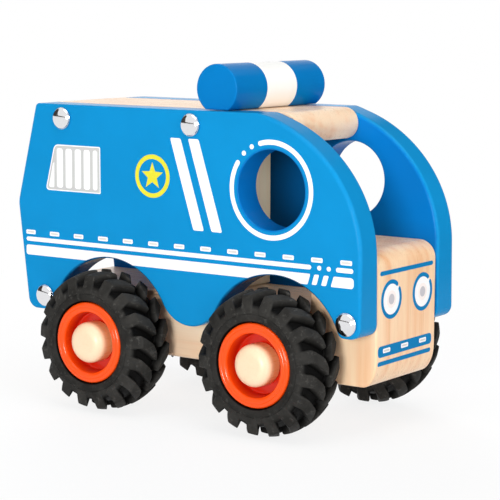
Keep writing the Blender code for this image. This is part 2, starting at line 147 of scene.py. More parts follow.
class WheelSizes(bpy.types.PropertyGroup):
    """Sections of the tyres, rims, hub caps, axles and screws."""

    radius: length("Wheel radius", 30.48, "Radius over the lugs")
    lug_depth: length("Lug depth", 3.8, "Height of the lugs above the carcass")
    lugs: count("Lugs", 17, "Lugs on each half of the tread")
    lug_root: amount("Lug root", 0.28, "Half width of a lug at the shoulder, as a share of the pitch")
    lug_tip: amount("Lug tip", 0.13, "Half width of a lug at its inner end, as a share of the pitch")
    lug_wall: amount("Lug wall", 0.11, "Width of a lug's side wall, as a share of the pitch")
    lug_slant: degrees("Lug slant", 13.6, "Angle that a lug's trailing edge turns through to the shoulder")
    lug_start: length("Lug start", 0.5, "Distance of the lugs' inner ends from the middle of the tread")
    lug_taper: length("Lug taper", 3.8, "Distance from the middle at which the lugs reach their full width")
    tread_half: length("Tread half", 8.9, "Distance of the shoulder's corner from the middle of the tread")
    tread_fall: length("Tread fall", 1.8, "Drop of the tread from its middle to the shoulder's corner")
    shoulder_foot: length("Shoulder foot", 21.4, "Radius where the lugs meet the sidewall")
    sidewall_out: length("Sidewall", 11.62, "Distance of the sidewall's crest from the tyre's middle")
    bead_out: length("Bead", 8.0, "Distance of the bead from the tyre's middle")
    bead_radius: length("Bead radius", 17.75, "Radius where the sidewall meets the rim's lip")
    bore_radius: length("Bore radius", 16.0, "Radius of the tyre's bore")
    barrel_radius: length("Rim barrel", 15.75, "Radius of the rim under the tyre")
    rim_wall: length("Rim wall", 2.9, "Thickness of the rim's barrel and floor")
    rim_bore: length("Rim bore", 4.3, "Radius of the rim's bore")
    boss_radius: length("Rim boss", 7.5, "Radius of the boss behind the rim")
    flange_setback: length("Flange setback", 6.3, "Distance from the end of the boss to the rim's flange")
    flange: length("Flange", 1.4, "Thickness of the rim's flange")
    lip_radius: length("Rim lip", 17.48, "Radius of the rim's lip and flange")
    lip_depth: length("Lip depth", 3.2, "Depth of the rim's lip")
    lip_round: length("Lip round", 1.5, "Round of the rim's lip")
    dish_depth: length("Dish depth", 7.5, "Depth of the dish below the rim's face")
    dish_radius: length("Dish radius", 13.2, "Radius of the dish at the lip")
    dish_foot: length("Dish foot", 12.6, "Radius of the dish at its floor")
    groove: length("Lip groove", 0.16, "Depth of the groove round the rim's lip")
    axle_round: length("Axle round", 0.6, "Round of the axle's ends")
    cap_bore: length("Hub cap bore", 4.25, "Radius of the hole that takes the axle's end")
    cap_round: length("Hub cap round", 4.4, "Round of the hub cap's outer edge")
    cap_crown: length("Hub cap crown", 0.5, "Rise of the middle of the hub cap's face")
    screw_neck: length("Screw neck", 3.6, "Radius of the screw head where it meets the panel")
    screw_lift: length("Screw lift", 0.75, "Height of the brim's lower edge above the panel")
    screw_brim: length("Screw brim", 0.35, "Thickness of the screw head's brim")
    screw_shank: length("Screw shank", 1.75, "Radius of the screw's shank")


class PrintSizes(bpy.types.PropertyGroup):
    """Places and sizes of the prints, forward and up on the panels, left and up on the bonnet."""

    lift: length("Lift", 0.04, "Height of each layer of print above what carries it")
    depth: length("Depth", 0.12, "Thickness of a print sheet, most of it sunk into the paint")
    ring_inner: length("Ring inner", 18.4, "Inner radius of the ring round the window")
    ring_outer: length("Ring outer", 20.45, "Outer radius of the ring round the window")
    line_rear: length("Line rear", -85.25, "Rear end of the waist lines")
    thin_line: length("Thin line height", 70.46, "Middle height of the thin waist line")
    thick_line: length("Thick line height", 65.6, "Middle height of the thick waist line")
    stitch_height: length("Stitch height", 73.57, "Middle height of the row of dashes")
    stitch_pitch: length("Stitch pitch", 13.81, "Spacing of the dashes")
    stitch_front: length("Stitch front", 83.2, "Middle of the front dash")
    stripe_slant: amount("Stripe slant", -0.32, "Lean of the two slanted stripes, length over height")
    badge_place: length("Badge place", -13.85, "Middle of the badge along the car")
    badge_height: length("Badge height", 102.4, "Middle of the badge above the floor")
    badge_radius: length("Badge radius", 9.2, "Outer radius of the badge")
    lamp_place: length("Headlight place", 12.5, "Distance of a headlight from the middle")
    lamp_height: length("Headlight height", 56.6, "Height of the headlights")
    lamp_radius: length("Headlight radius", 8.05, "Outer radius of a headlight's ring")


class CarColours(bpy.types.PropertyGroup):
    """Colours of the paints, prints and bare materials."""

    panel_blue: colour("Panel blue", 17, 139, 200, "Paint of the side panels")
    # A deeper blue that is painted shade on the panels' inner faces.
    shaded_inner_blue: colour("Inner blue", 9, 121, 203, "Paint of the panels' inner faces")
    bar_blue: colour("Light bar blue", 8, 119, 188, "Paint of the light bar's ends")
    bar_white: colour("Light bar white", 255, 254, 250, "Paint of the light bar's middle")
    print_white: colour("Print white", 250, 250, 250, "White prints")
    pane_grey: colour("Pane grey", 198, 198, 197, "Grey behind the barred window's bars")
    dash_grey: colour("Dash grey", 218, 215, 214, "Middles of the white dashes")
    print_halo: colour("Headlight halo", 249, 240, 236, "Rings round the middles of the headlights")
    print_core: colour("Headlight core", 200, 196, 201, "Middles of the headlights")
    print_blue: colour("Print blue", 6, 124, 182, "Blue prints on the bonnet")
    badge_yellow: colour("Badge yellow", 226, 219, 62, "Badge print")
    wood_pale: colour("Pale wood", 255, 226, 189, "Early wood")
    wood_tan: colour("Tan wood", 237, 172, 120, "Late wood")
    cap_pale: colour("Pale hub cap", 247, 217, 184, "Early wood of the hub caps")
    cap_tan: colour("Tan hub cap", 240, 197, 156, "Late wood of the hub caps")
    plastic_orange: colour("Rim orange", 252, 80, 14, "Moulded rims")
    rubber_black: colour("Rubber black", 46, 45, 43, "Tyres")
    chrome: colour("Chrome", 232, 232, 234, "Screw heads")


class StageSettings(bpy.types.PropertyGroup):
    """Camera and light."""

    azimuth: degrees("Azimuth", 35.1385, "Camera's turn round the car from its right side")
    elevation: degrees("Elevation", 7.6714, "Camera's height above the horizon")
    roll: degrees("Roll", 0.2356, "Camera's roll")
    distance: length("Distance", 808.06, "Camera's distance from its target")
    target_x: length("Target place", 10.52, "Camera's target along the car")
    target_z: length("Target height", 68.90, "Camera's target above the floor")
    lens: amount("Lens", 134.25, "Focal length in millimetres on a 36 mm sensor")
    ambient: amount("Ambient", 0.24, "Strength of the even light from all round")
    key: amount("Key", 10.8, "Power of the low lamp on the car's right")
    front: amount("Front", 4.35, "Power of the lamp before the car")
    rear: amount("Rear", 17.0, "Power of the lamp on the car's rear left")
    top: amount("Top", 8.3, "Power of the lamp above")


class ToyCarSettings(bpy.types.PropertyGroup):
    """All settings of the toy car."""

    panel: PointerProperty(type=PanelSizes)
    block: PointerProperty(type=BlockSizes)
    wheel: PointerProperty(type=WheelSizes)
    prints: PointerProperty(type=PrintSizes)
    colours: PointerProperty(type=CarColours)
    stage: PointerProperty(type=StageSettings)


def settings():
    """The toy car's settings in this scene."""
    return bpy.context.scene.toy_car


# Shapes


def arc(centre, radii, start, stop, steps):
    """Points of an ellipse's arc, centre + (rx cos t, rz sin t), with t from start to stop in radians."""
    t = np.linspace(start, stop, steps + 1)
    return np.column_stack((centre[0] + radii[0] * np.cos(t), centre[1] + radii[1] * np.sin(t)))


def circle(centre, radius, steps):
    """Points of a whole circle, the last one just short of the first."""
    return arc(centre, (radius, radius), 0, 2 * math.pi, steps)[:-1]


def rounded_corner(before, corner, after, radius, steps):
    """The arc of a radius that touches both straight edges of a corner."""
    to_before = math.atan2(before[1] - corner[1], before[0] - corner[0])
    to_after = math.atan2(after[1] - corner[1], after[0] - corner[0])
    turn = (to_after - to_before + math.pi) % (2 * math.pi) - math.pi
    middle = to_before + turn / 2
    away = radius / abs(math.sin(turn / 2))
    centre = (corner[0] + away * math.cos(middle), corner[1] + away * math.sin(middle))
    start = to_before - math.copysign(math.pi / 2, turn)
    return arc(centre, (radius, radius), start, start + turn - math.copysign(math.pi, turn), steps)


def rounded_path(corners, radii, steps):
    """A closed path with every corner of a polygon replaced by the arc of its radius."""
    corners = [np.asarray(c, float) for c in corners]
    befores = corners[-1:] + corners[:-1]
    afters = corners[1:] + corners[:1]
    arcs = [rounded_corner(b, c, a, r, steps) for b, c, a, r in zip(befores, corners, afters, radii)]
    return np.concatenate(arcs)


def path_normals(path):
    """Unit normals of a closed path: the mean of its two edges' directions, turned to point outwards."""
    edges = np.roll(path, -1, axis=0) - path
    edges /= np.linalg.norm(edges, axis=1)[:, None]
    along = edges + np.roll(edges, 1, axis=0)
    along /= np.linalg.norm(along, axis=1)[:, None]
    x, z = path.T
    area = np.sum(x * np.roll(z, -1) - np.roll(x, -1) * z)
    return np.column_stack((along[:, 1], -along[:, 0])) * np.sign(area)


def edge_section(low, high, steps=6, between=()):
    """Section of a board's edge from one face to the other, for an edge of radius 1.

    Rows of (inset, base, rise, outward share, y share): a quarter circle up from the low face, any
    rows between, and a quarter circle to the high face. A row's y is base + rise * radius.
    """
    t = np.linspace(0, math.pi / 2, steps + 1)
    cos, sin = np.cos(t), np.sin(t)
    top = np.column_stack((1 - cos, np.full(t.shape, high), sin - 1, cos, sin))
    bottom = np.column_stack((1 - cos, np.full(t.shape, low), 1 - sin, cos, -sin))
    middle = np.array([[0, y, 0, 1, 0] for y in between]).reshape(-1, 5)
    return np.concatenate((bottom[::-1], middle, top))


def grid_quads(rows, columns, close_rows=False, close_columns=True):
    """Corner numbers of the quads of a grid of points, row after row."""
    i = np.arange(rows if close_rows else rows - 1)[:, None]
    j = np.arange(columns if close_columns else columns - 1)[None, :]
    down, right = (i + 1) % rows, (j + 1) % columns
    here, below = i * columns, down * columns
    return np.stack((here + j, here + right, below + right, below + j), axis=-1).reshape(-1, 4)


def sweep(path, section, radius, inward=False):
    """Points and normals of a section carried round a closed path.

    point = path - inset * radius * normal at y = base + rise * radius, and its normal is the section's
    share of the path's normal and of Y. The radius is one number, or one for each point of the path.
    A hole's normals point to its middle.
    """
    normals = path_normals(path) * (-1 if inward else 1)
    radius = np.broadcast_to(radius, len(path))
    flat = path[None] - (section[:, 0, None] * radius)[..., None] * normals[None]
    points = np.empty((len(section), len(path), 3))
    points[..., 0] = flat[..., 0]
    points[..., 1] = section[:, 1, None] + section[:, 2, None] * radius
    points[..., 2] = flat[..., 1]
    directions = np.empty_like(points)
    directions[..., 0] = section[:, 3, None] * normals[None, :, 0]
    directions[..., 1] = section[:, 4, None]
    directions[..., 2] = section[:, 3, None] * normals[None, :, 1]
    return points, directions


def faced(points, faces, normals):
    """Faces whose corners run so that they point the way of their corners' mean normal."""
    faces = np.asarray(faces)
    a, b, c = (points[faces[:, k]] for k in range(3))
    away = np.einsum("ij,ij->i", np.cross(b - a, c - a), normals[faces].mean(axis=1))
    return np.where((away < 0)[:, None], faces[:, ::-1], faces)


def board(path, section, radius, holes=()):
    """A board: a swept outline, swept holes and two flat faces, as points, normals, faces and edge share.

    Each hole has its own path, section and edge radius, and its surface faces its middle. The edge share is
    twice the product of the section's outward and y shares, so it is 1 half way round an edge.
    """
    sections = [section] + [hole[1] for hole in holes]
    grids = [sweep(path, section, radius)] + [sweep(*hole, inward=True) for hole in holes]
    points, normals, edges, quads, low_rings, high_rings, start = [], [], [], [], [], [], 0
    for (grid, directions), rows_of in zip(grids, sections):
        rows, columns = grid.shape[:2]
        points.append(grid.reshape(-1, 3))
        normals.append(directions.reshape(-1, 3))
        edges.append(np.repeat(2 * np.abs(rows_of[:, 3] * rows_of[:, 4]), columns))
        quads.append(grid_quads(rows, columns) + start)
        low_rings.append(start + np.arange(columns))
        high_rings.append(start + (rows - 1) * columns + np.arange(columns))
        start += rows * columns
    points, normals = np.concatenate(points), np.concatenate(normals)
    caps = []
    for rings in (low_rings, high_rings):
        triangles = tessellate_polygon([points[ring].tolist() for ring in rings])
        caps.append(np.concatenate(rings)[np.array(triangles)])
    groups = [faced(points, np.concatenate(g), normals) for g in (quads, caps)]
    return points, normals, groups, {"edge": np.concatenate(edges)}


def turned(profile, middle, side, steps):
    """A profile of (radius, y, radius share, y share) rows carried round an axis along Y.

    point = middle + (r cos a, side * y, r sin a). A row on the axis becomes one point.
    """
    profile = np.asarray(profile, float)
    poles = [k for k in (0, len(profile) - 1) if profile[k, 0] < 1e-7]
    body = np.delete(profile, poles, axis=0)
    a = np.linspace(0, 2 * math.pi, steps, endpoint=False)
    spokes = np.stack((np.cos(a), np.zeros(steps), np.sin(a)), axis=-1)
    points = body[:, 0, None, None] * spokes + np.array([0, side, 0]) * body[:, 1, None, None]
    normals = body[:, 2, None, None] * spokes + np.array([0, side, 0]) * body[:, 3, None, None]
    quads = grid_quads(len(body), steps, close_rows=not poles)
    points, normals = points.reshape(-1, 3), normals.reshape(-1, 3)
    faces = []
    for k in poles:
        tip = len(points)
        points = np.concatenate((points, [[0, side * profile[k, 1], 0]]))
        normals = np.concatenate((normals, [[0, side * np.sign(profile[k, 3]), 0]]))
        ring = np.arange(steps) + (0 if k == 0 else (len(body) - 1) * steps)
        fan = np.column_stack((np.full(steps, tip), ring, np.roll(ring, -1)))
        faces.append(faced(points, fan, normals))
    faces.append(faced(points, quads, normals))
    return points + np.asarray(middle), normals, faces


def lathe_profile(bends, steps, closed=False):
    """Rows of (radius, y, normal) for turning, from corners of (radius, y, bend) rounded by their bend.

    The profile runs so that the material is on its left, seen with the radius to the right and y up.
    """
    bends = np.asarray(bends, float)
    corners = bends[:, :2]
    rows = []
    last = len(corners) - 1
    for k, (corner, radius) in enumerate(zip(corners, bends[:, 2])):
        if not closed and k in (0, last):
            step = corners[1] - corners[0] if k == 0 else corners[last] - corners[last - 1]
            step = step / np.linalg.norm(step)
            rows.append([[*corner, step[1], -step[0]]])
            continue
        before, after = corners[k - 1], corners[(k + 1) % len(corners)]
        bend = rounded_corner(before, corner, after, radius, steps)
        inn, out = corner - before, after - corner
        turn = math.atan2(inn[0] * out[1] - inn[1] * out[0], inn @ out)
        start = math.atan2(-inn[0], inn[1])
        t = start + turn * np.linspace(0, 1, steps + 1)
        rows.append(np.column_stack((bend, np.cos(t), np.sin(t))))
    return np.concatenate([np.asarray(r, float) for r in rows])


def make_piece(name, surface, body, materials, nodes=(), indices=None, smooth=True):
    """A mesh object at the origin that rides on a body and stands for its CAD nodes.

    The surface is points, normals or None, groups of faces with a like number of corners, and perhaps
    named shares from 0 to 1 at each point for its material to use.
    """
    points, normals, groups = surface[:3]
    mesh = bpy.data.meshes.new(name)
    mesh.from_pydata(np.asarray(points).tolist(), [], sum((np.asarray(g).tolist() for g in groups), []))
    for material in materials:
        mesh.materials.append(material)
    if indices is not None:
        mesh.polygons.foreach_set("material_index", np.asarray(indices, np.int32))
    mesh.polygons.foreach_set("use_smooth", np.full(len(mesh.polygons), smooth))
    if normals is not None:
        mesh.normals_split_custom_set_from_vertices(np.asarray(normals).tolist())
    for share, values in (surface[3] if len(surface) > 3 else {}).items():
        mesh.attributes.new(share, "FLOAT", "POINT").data.foreach_set("value", np.asarray(values, np.float32))
    mesh.update()
    piece = bpy.data.objects.new(name, mesh)
    bpy.context.scene.collection.objects.link(piece)
    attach(piece, body)
    if nodes:
        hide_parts(*nodes)
    return piece


# Prints: sheets as functions of two parameters, in the plane of what carries them


def smooth_step(x):
    """0 below 0, 1 above 1, and x * x * (3 - 2x) between."""
    x = np.clip(x, 0, 1)
    return x * x * (3 - 2 * x)


def ends_spacing(steps):
    """Parameters from -1 to 1, close together at both ends."""
    return np.sin(np.linspace(-math.pi / 2, math.pi / 2, steps + 1))


def bar_sheet(centre, size, corner, columns=24, rows=2):
    """A bar with rounded corners: (u, v w(u)), where w falls along a quarter circle near both ends."""
    half_length, half_width = size[0] / 2, size[1] / 2
    u = ends_spacing(columns) * half_length
    into = np.clip(np.abs(u) - (half_length - corner), 0, corner)
    width = half_width - corner + np.sqrt(np.maximum(corner**2 - into**2, 0))
    v = np.linspace(-1, 1, rows)[:, None] * width[None]
    x = np.broadcast_to(u, v.shape)
    return np.stack((centre[0] + x, centre[1] + v), axis=-1)


def ring_sheet(centre, inner, outer, start=0.0, stop=2 * math.pi, columns=96, rows=2):
    """A ring's arc: radius from inner to outer over the angle, closed in to a half circle at open ends."""
    t = np.linspace(start, stop, columns + 1)
    middle, half = (inner + outer) / 2, (outer - inner) / 2
    width = np.full(t.shape, half)
    if stop - start < 2 * math.pi - 1e-6:
        t = (start + stop) / 2 + (stop - start) / 2 * ends_spacing(columns)
        from_end = np.minimum(t - start, stop - t) * middle
        width = np.sqrt(np.maximum(half**2 - np.clip(half - from_end, 0, half) ** 2, 0))
    radius = middle + np.linspace(-1, 1, rows)[:, None] * width[None]
    return np.stack((centre[0] + radius * np.cos(t), centre[1] + radius * np.sin(t)), axis=-1)


def disc_sheet(centre, radius):
    """A disc: a bar as long as it is wide, whose corners are all of its radius."""
    return bar_sheet(centre, (2 * radius, 2 * radius), radius, columns=32)


def sloped_sheet(low, high, left, right, corners=(0.7, 0.7), rows=28):
    """A plate between two heights whose left and right edges lean, with its corners rounded by edge.

    Each edge's x runs evenly from its low to its high value, drawn in near both ends along a quarter circle.
    """
    z = (low + high) / 2 + (high - low) / 2 * ends_spacing(rows)
    from_end = (high - low) / 2 - np.abs(z - (low + high) / 2)
    share = (z - low) / (high - low)
    edges = []
    for ends, corner, sign in ((left, corners[0], 1), (right, corners[1], -1)):
        into = np.clip(corner - from_end, 0, corner)
        inset = corner - np.sqrt(np.maximum(corner**2 - into**2, 0))
        edges.append(np.stack((ends[0] + (ends[1] - ends[0]) * share + sign * inset, z), axis=-1))
    return np.stack(edges)


def over_arches(sheet, arches, radius, columns=320):
    """A plate drawn from its left edge to its right one, with its lower edge lifted over round arches.

    A point's height keeps its share of the way from the lower edge to the upper one, where the lower edge is
    the plate's own or an arch's circle, whichever is higher.
    """
    u = np.linspace(0, 1, columns + 1)[:, None, None]
    x, z = np.moveaxis((1 - u) * sheet[0] + u * sheet[1], -1, 0)
    low, high = z.min(), z.max()
    rise = np.full(x.shape, low)
    for middle in arches:
        rise = np.maximum(rise, middle[1] + np.sqrt(np.maximum(radius**2 - (x - middle[0]) ** 2, 0)))
    return np.stack((x, high - (high - z) * (high - rise) / (high - low)), axis=-1)


def star_sheet(centre, outer, inner, points=5):
    """A star: from its middle to an outline whose radius is outer and inner in turn."""
    t = math.pi / 2 + np.arange(2 * points + 1) * math.pi / points
    radius = np.where(np.arange(2 * points + 1) % 2, inner, outer)
    rim = np.column_stack((centre[0] + radius * np.cos(t), centre[1] + radius * np.sin(t)))
    return np.stack((np.broadcast_to(centre, rim.shape), rim))


def print_piece(name, sheets, place, outward, body, material):
    """One printed piece: all its sheets set in place, welded where their edges meet and thickened inwards."""
    points, faces, start = [], [], 0
    for sheet in sheets:
        rows, columns = sheet.shape[:2]
        spots = place(sheet.reshape(-1, 2))
        quads = grid_quads(rows, columns, close_columns=False)
        corners = spots[quads]
        span = np.cross(corners[:, 2] - corners[:, 0], corners[:, 3] - corners[:, 1])
        turned_away = span @ np.asarray(outward, float) < 0
        faces.append(np.where(turned_away[:, None], quads[:, ::-1], quads) + start)
        points.append(spots)
        start += rows * columns
    surface = np.concatenate(points), None, [np.concatenate(faces)]
    piece = make_piece(name, surface, body, [material], smooth=False)
    weld = piece.modifiers.new("weld", "WELD")
    weld.merge_threshold = 2e-6
    solid = piece.modifiers.new("sheet", "SOLIDIFY")
    solid.thickness = settings().prints.depth
    solid.offset = -1
    return piece


# Materials


def new_material(name):
    """A material with its node tree and its shader."""
    material = bpy.data.materials.new(name)
    material.use_nodes = True
    shader = material.node_tree.nodes["Principled BSDF"]
    return material, material.node_tree, shader


def add(tree, kind, attributes=None, **inputs):
    """A node with its settings; each input is a value or another node's socket."""
    node = tree.nodes.new("ShaderNode" + kind)
    for key, value in (attributes or {}).items():
        setattr(node, key, value)
    for key, value in inputs.items():
        socket = node.inputs[int(key[1:])] if key[0] == "_" else node.inputs[key.replace("_", " ")]
        if isinstance(value, bpy.types.NodeSocket):
            tree.links.new(value, socket)
        else:
            socket.default_value = value
    return node


def maths(tree, operation, a, b=0.0):
    """A sum, a product or another operation on one or two values."""
    return add(tree, "Math", {"operation": operation}, _0=a, _1=b).outputs[0]


def mixed(tree, share, a, b):
    """A colour between two colours."""
    colours = [(*c, 1.0) if isinstance(c, (tuple, list)) else c for c in (a, b)]
    node = add(tree, "Mix", {"data_type": "RGBA"}, _0=share, _6=colours[0], _7=colours[1])
    return node.outputs[2]


def ranged(tree, value, low, high, to_low=0.0, to_high=1.0):
    """A value carried from one range to another, and kept inside it."""
    limits = {"From_Min": low, "From_Max": high, "To_Min": to_low, "To_Max": to_high}
    return add(tree, "MapRange", None, Value=value, **limits).outputs[0]


def coordinates(tree, scale=(1, 1, 1), place=(0, 0, 0)):
    """Object coordinates, moved by place and then stretched."""
    spot = add(tree, "TexCoord").outputs["Object"]
    moved = add(tree, "VectorMath", {"operation": "ADD"}, _0=spot, _1=place).outputs[0]
    return add(tree, "VectorMath", {"operation": "MULTIPLY"}, _0=moved, _1=scale).outputs[0]


def position(tree):
    """A point's place along X, Y and Z."""
    return add(tree, "SeparateXYZ", None, Vector=coordinates(tree)).outputs


def from_middle(tree):
    """A point's distance from the car's middle plane."""
    return maths(tree, "ABSOLUTE", position(tree)["Y"])


def mesh_share(tree, name):
    """A share from 0 to 1 that the mesh holds at each point."""
    return add(tree, "Attribute", {"attribute_name": name}).outputs["Fac"]


def along_grain(grain, share):
    """A stretch of the coordinates that draws a pattern out along the grain's axis."""
    return tuple(share if axis == grain else 1 for axis in "XYZ")


def noise(tree, vector, scale, detail=2.0, roughness=0.5):
    """Soft noise from 0 to 1, with its scale in waves to the metre."""
    node = add(tree, "TexNoise", None, Vector=vector, Scale=scale, Detail=detail, Roughness=roughness)
    return node.outputs[0]


def bump(tree, shader, height, distance, strength):
    """Relief of a depth in metres from a value between 0 and 1."""
    node = add(tree, "Bump", None, Height=height, Distance=distance, Strength=strength)
    tree.links.new(node.outputs[0], shader.inputs["Normal"])


def surface_of(tree, shader, base, rough, specular):
    """Give a shader its colour and roughness from nodes, and its specular level as a plain number."""
    tree.links.new(base, shader.inputs["Base Color"])
    tree.links.new(rough, shader.inputs["Roughness"])
    shader.inputs["Specular IOR Level"].default_value = specular


def toned(tint, *shares):
    """A colour made darker or lighter, by one share or by one for each channel."""
    return tuple(min(1.0, c * share) for c, share in zip(tint, np.broadcast_to(shares, 3).tolist()))


def blended(one, other, *shares):
    """A colour on the way from one to another, by one share or by one for each channel."""
    return tuple((1 - k) * a + k * b for a, b, k in zip(one, other, np.broadcast_to(shares, 3).tolist()))


def paint_finish(name, tint, grain="X", inner=None, bores=()):
    """Satin paint on wood: faint mottling, rubbed edges that are partly wear and partly a painted highlight,
    the inner faces' painted shade when an inner tint is given, and the grain just showing as bump and gloss.
    """
    material, tree, shader = new_material(name)
    patches = noise(tree, coordinates(tree), scale=45.0, detail=3.0)
    fibres = noise(tree, coordinates(tree, along_grain(grain, 0.05)), scale=900.0, detail=4.0, roughness=0.6)
    coat = mixed(tree, ranged(tree, patches, 0.3, 0.7), toned(tint, 0.955), toned(tint, 1.03))
    # The inner tint is painted shade on the faces inside the car.
    if inner:
        coat = inner_painted_shade(tree, coat, inner, bores)
    # Lighter rubbed edges: partly paint worn thin, partly a painted highlight on the rounded edges.
    wear = noise(tree, coordinates(tree), scale=260.0, detail=4.0, roughness=0.65)
    rubs_and_sheen = maths(tree, "MULTIPLY", ranged(tree, wear, 0.42, 0.68, 0.0, 0.45), mesh_share(tree, "edge"))
    coat = mixed(tree, rubs_and_sheen, coat, blended(tint, (1, 1, 1), 0.012))
    surface_of(tree, shader, coat, ranged(tree, fibres, 0.3, 0.7, 0.18, 0.26), specular=0.035)
    bump(tree, shader, fibres, distance=0.00003, strength=0.5)
    return material


def inner_painted_shade(tree, coat, inner, bores):
    """Painted shade on a coat of paint: the inner tint, a deeper blue on its faces towards the middle of the
    car.

    The painted shade is deepest, near black, at the back of the cab and near the floor, and a little deeper
    towards the nose. Bores are (x, z, radius, share): the walls of holes and arches through the board, which
    take that share of the tint as painted shade.
    """
    board_back, floor = (0.0239, 0.0246), (0.062, 0.085)
    cab_rear, nose_front = (0.030, 0.046), (0.058, 0.078)
    place = position(tree)
    inside = ranged(tree, from_middle(tree), *board_back, 1.0, 0.0)
    # Painted shade: near black at the back of the cab and near the floor.
    deep = maths(tree, "GREATER_THAN", place["X"], 0.0)
    deep = maths(tree, "MULTIPLY", deep, ranged(tree, place["X"], *cab_rear, 0.75, 0.0))
    deep = maths(tree, "MAXIMUM", deep, ranged(tree, place["Z"], *floor, 0.58, 0.0))
    # Painted shade a little deeper towards the nose.
    shade = mixed(tree, ranged(tree, place["X"], *nose_front), inner, toned(inner, 0.88))
    coat = mixed(tree, inside, coat, mixed(tree, deep, shade, toned(inner, 0.15)))
    # Painted shade on the walls of the window and the arches.
    for x, z, radius, share in bores:
        squares = (maths(tree, "POWER", maths(tree, "SUBTRACT", place[axis], middle), 2.0)
                   for axis, middle in (("X", x), ("Z", z)))
        from_axis = maths(tree, "SQRT", maths(tree, "ADD", *squares))
        wall = ranged(tree, from_axis, radius + 0.0003, radius + 0.001, 1.0, 0.0)
        coat = mixed(tree, wall, coat, toned(inner, share))
    return coat


def wood_finish(name, grain, pith, pale, tan, ring, strength, foot=None):
    """Bare varnished wood: growth rings round a pith along the grain, long fibres and soft blotches.

    Ring is the width of a growth ring, and strength is how far its late wood goes from pale to tan. A foot
    is (inner y, outer y): between them, towards the middle of the car, the wood turns to a warmer, darker
    tone, which is painted orange bounce light and shade from the coloured dish that a cap stands in.
    """
    material, tree, shader = new_material(name)
    place = tuple(-p for p in pith)
    ring_spots, fibre_spots, blotch_spots = (coordinates(tree, along_grain(grain, share), place)
                                             for share in (0.06, 0.018, 0.18))
    wave = add(tree, "TexWave", {"wave_type": "RINGS", "rings_direction": grain, "wave_profile": "SIN"},
               Vector=ring_spots, Scale=2 * math.pi / (20 * ring), Distortion=7.0, Detail=2.0,
               Detail_Scale=0.3, Detail_Roughness=0.6)
    bands = ranged(tree, noise(tree, ring_spots, scale=0.4 / ring, roughness=0.6), 0.4, 0.66)
    rings = maths(tree, "ADD", maths(tree, "MULTIPLY", wave.outputs["Fac"], 0.4), 0.6)
    fibres = noise(tree, fibre_spots, scale=1500.0, detail=3.0, roughness=0.6)
    blotch = noise(tree, blotch_spots, scale=70.0)
    flecks = ranged(tree, fibres, 0.35, 0.7, 0.0, 0.12)
    stains = ranged(tree, blotch, 0.3, 0.75, 0.0, 0.3)
    handling = maths(tree, "MULTIPLY", mesh_share(tree, "edge"), ranged(tree, blotch, 0.3, 0.7, 0.0, 0.25))
    share = maths(tree, "MULTIPLY", maths(tree, "MULTIPLY", rings, bands), strength)
    for part in (flecks, stains, handling):
        share = maths(tree, "ADD", share, part)
    wood = mixed(tree, share, pale, tan)
    # Painted orange bounce light and shade from a dish, near a cap's foot.
    if foot:
        painted_dish_bounce = ranged(tree, from_middle(tree), *foot, 1.0, 0.0)
        wood = mixed(tree, painted_dish_bounce, wood, toned(pale, 1.0, 0.72, 0.42))
    surface_of(tree, shader, wood, ranged(tree, fibres, 0.3, 0.7, 0.24, 0.36), specular=0.4)
    bump(tree, shader, fibres, distance=0.00006, strength=0.5)
    return material


def plastic_finish(name, tint):
    """Glossy moulded plastic with a faint ripple in its gloss, and painted shade deeper and redder down in
    the dish.
    """
    material, tree, shader = new_material(name)
    dish_floor, lip = 0.0465, 0.0515
    clouds = noise(tree, coordinates(tree), scale=110.0)
    even = mixed(tree, clouds, toned(tint, 0.93), toned(tint, 1.04))
    # Painted shade: darker and redder from the lip down to the dish's floor.
    height = ranged(tree, from_middle(tree), dish_floor, lip)
    plastic = mixed(tree, height, toned(tint, 0.6, 0.2, 0.5), even)
    surface_of(tree, shader, plastic, ranged(tree, clouds, 0.3, 0.7, 0.14, 0.22), specular=0.3)
    bump(tree, shader, noise(tree, coordinates(tree), scale=420.0), distance=0.00003, strength=0.5)
    return material


def rubber_finish(name, tint):
    """Matt rubber: pores, a paler bloom in patches and grey scuffs on the lugs, and painted shade that turns
    the rubber between the lugs black, darkens the sidewall a little and draws a painted shadow line at the
    bead.
    """
    material, tree, shader = new_material(name)
    patches = noise(tree, coordinates(tree), scale=130.0, detail=4.0, roughness=0.6)
    pores = noise(tree, coordinates(tree), scale=2600.0)
    marks = noise(tree, coordinates(tree, along_grain("Y", 0.35)), scale=480.0, detail=5.0, roughness=0.7)
    bloom = mixed(tree, ranged(tree, patches, 0.35, 0.7), toned(tint, 0.65), toned(tint, 1.4))
    bloom = mixed(tree, ranged(tree, marks, 0.56, 0.74, 0.0, 0.8), bloom, toned(tint, 3.2))
    # Painted shade: black between the lugs, a little darker on the sidewall, a shadow line at the bead.
    painted_gap_shade = ranged(tree, mesh_share(tree, "depth"), 0.1, 0.8)
    rubber = mixed(tree, painted_gap_shade, bloom, toned(tint, 0.08))
    surface_of(tree, shader, rubber, ranged(tree, patches, 0.3, 0.7, 0.5, 0.66), specular=0.06)
    bump(tree, shader, pores, distance=0.00006, strength=0.6)
    return material


def chrome_finish(name, tint):
    """Polished plating with hairline polishing marks."""
    material, tree, shader = new_material(name)
    marks = noise(tree, coordinates(tree, along_grain("Z", 0.2)), scale=1600.0, detail=3.0)
    plating = mixed(tree, marks, toned(tint, 0.94), tint)
    surface_of(tree, shader, plating, ranged(tree, marks, 0.3, 0.7, 0.04, 0.12), specular=0.5)
    shader.inputs["Metallic"].default_value = 1.0
    return material


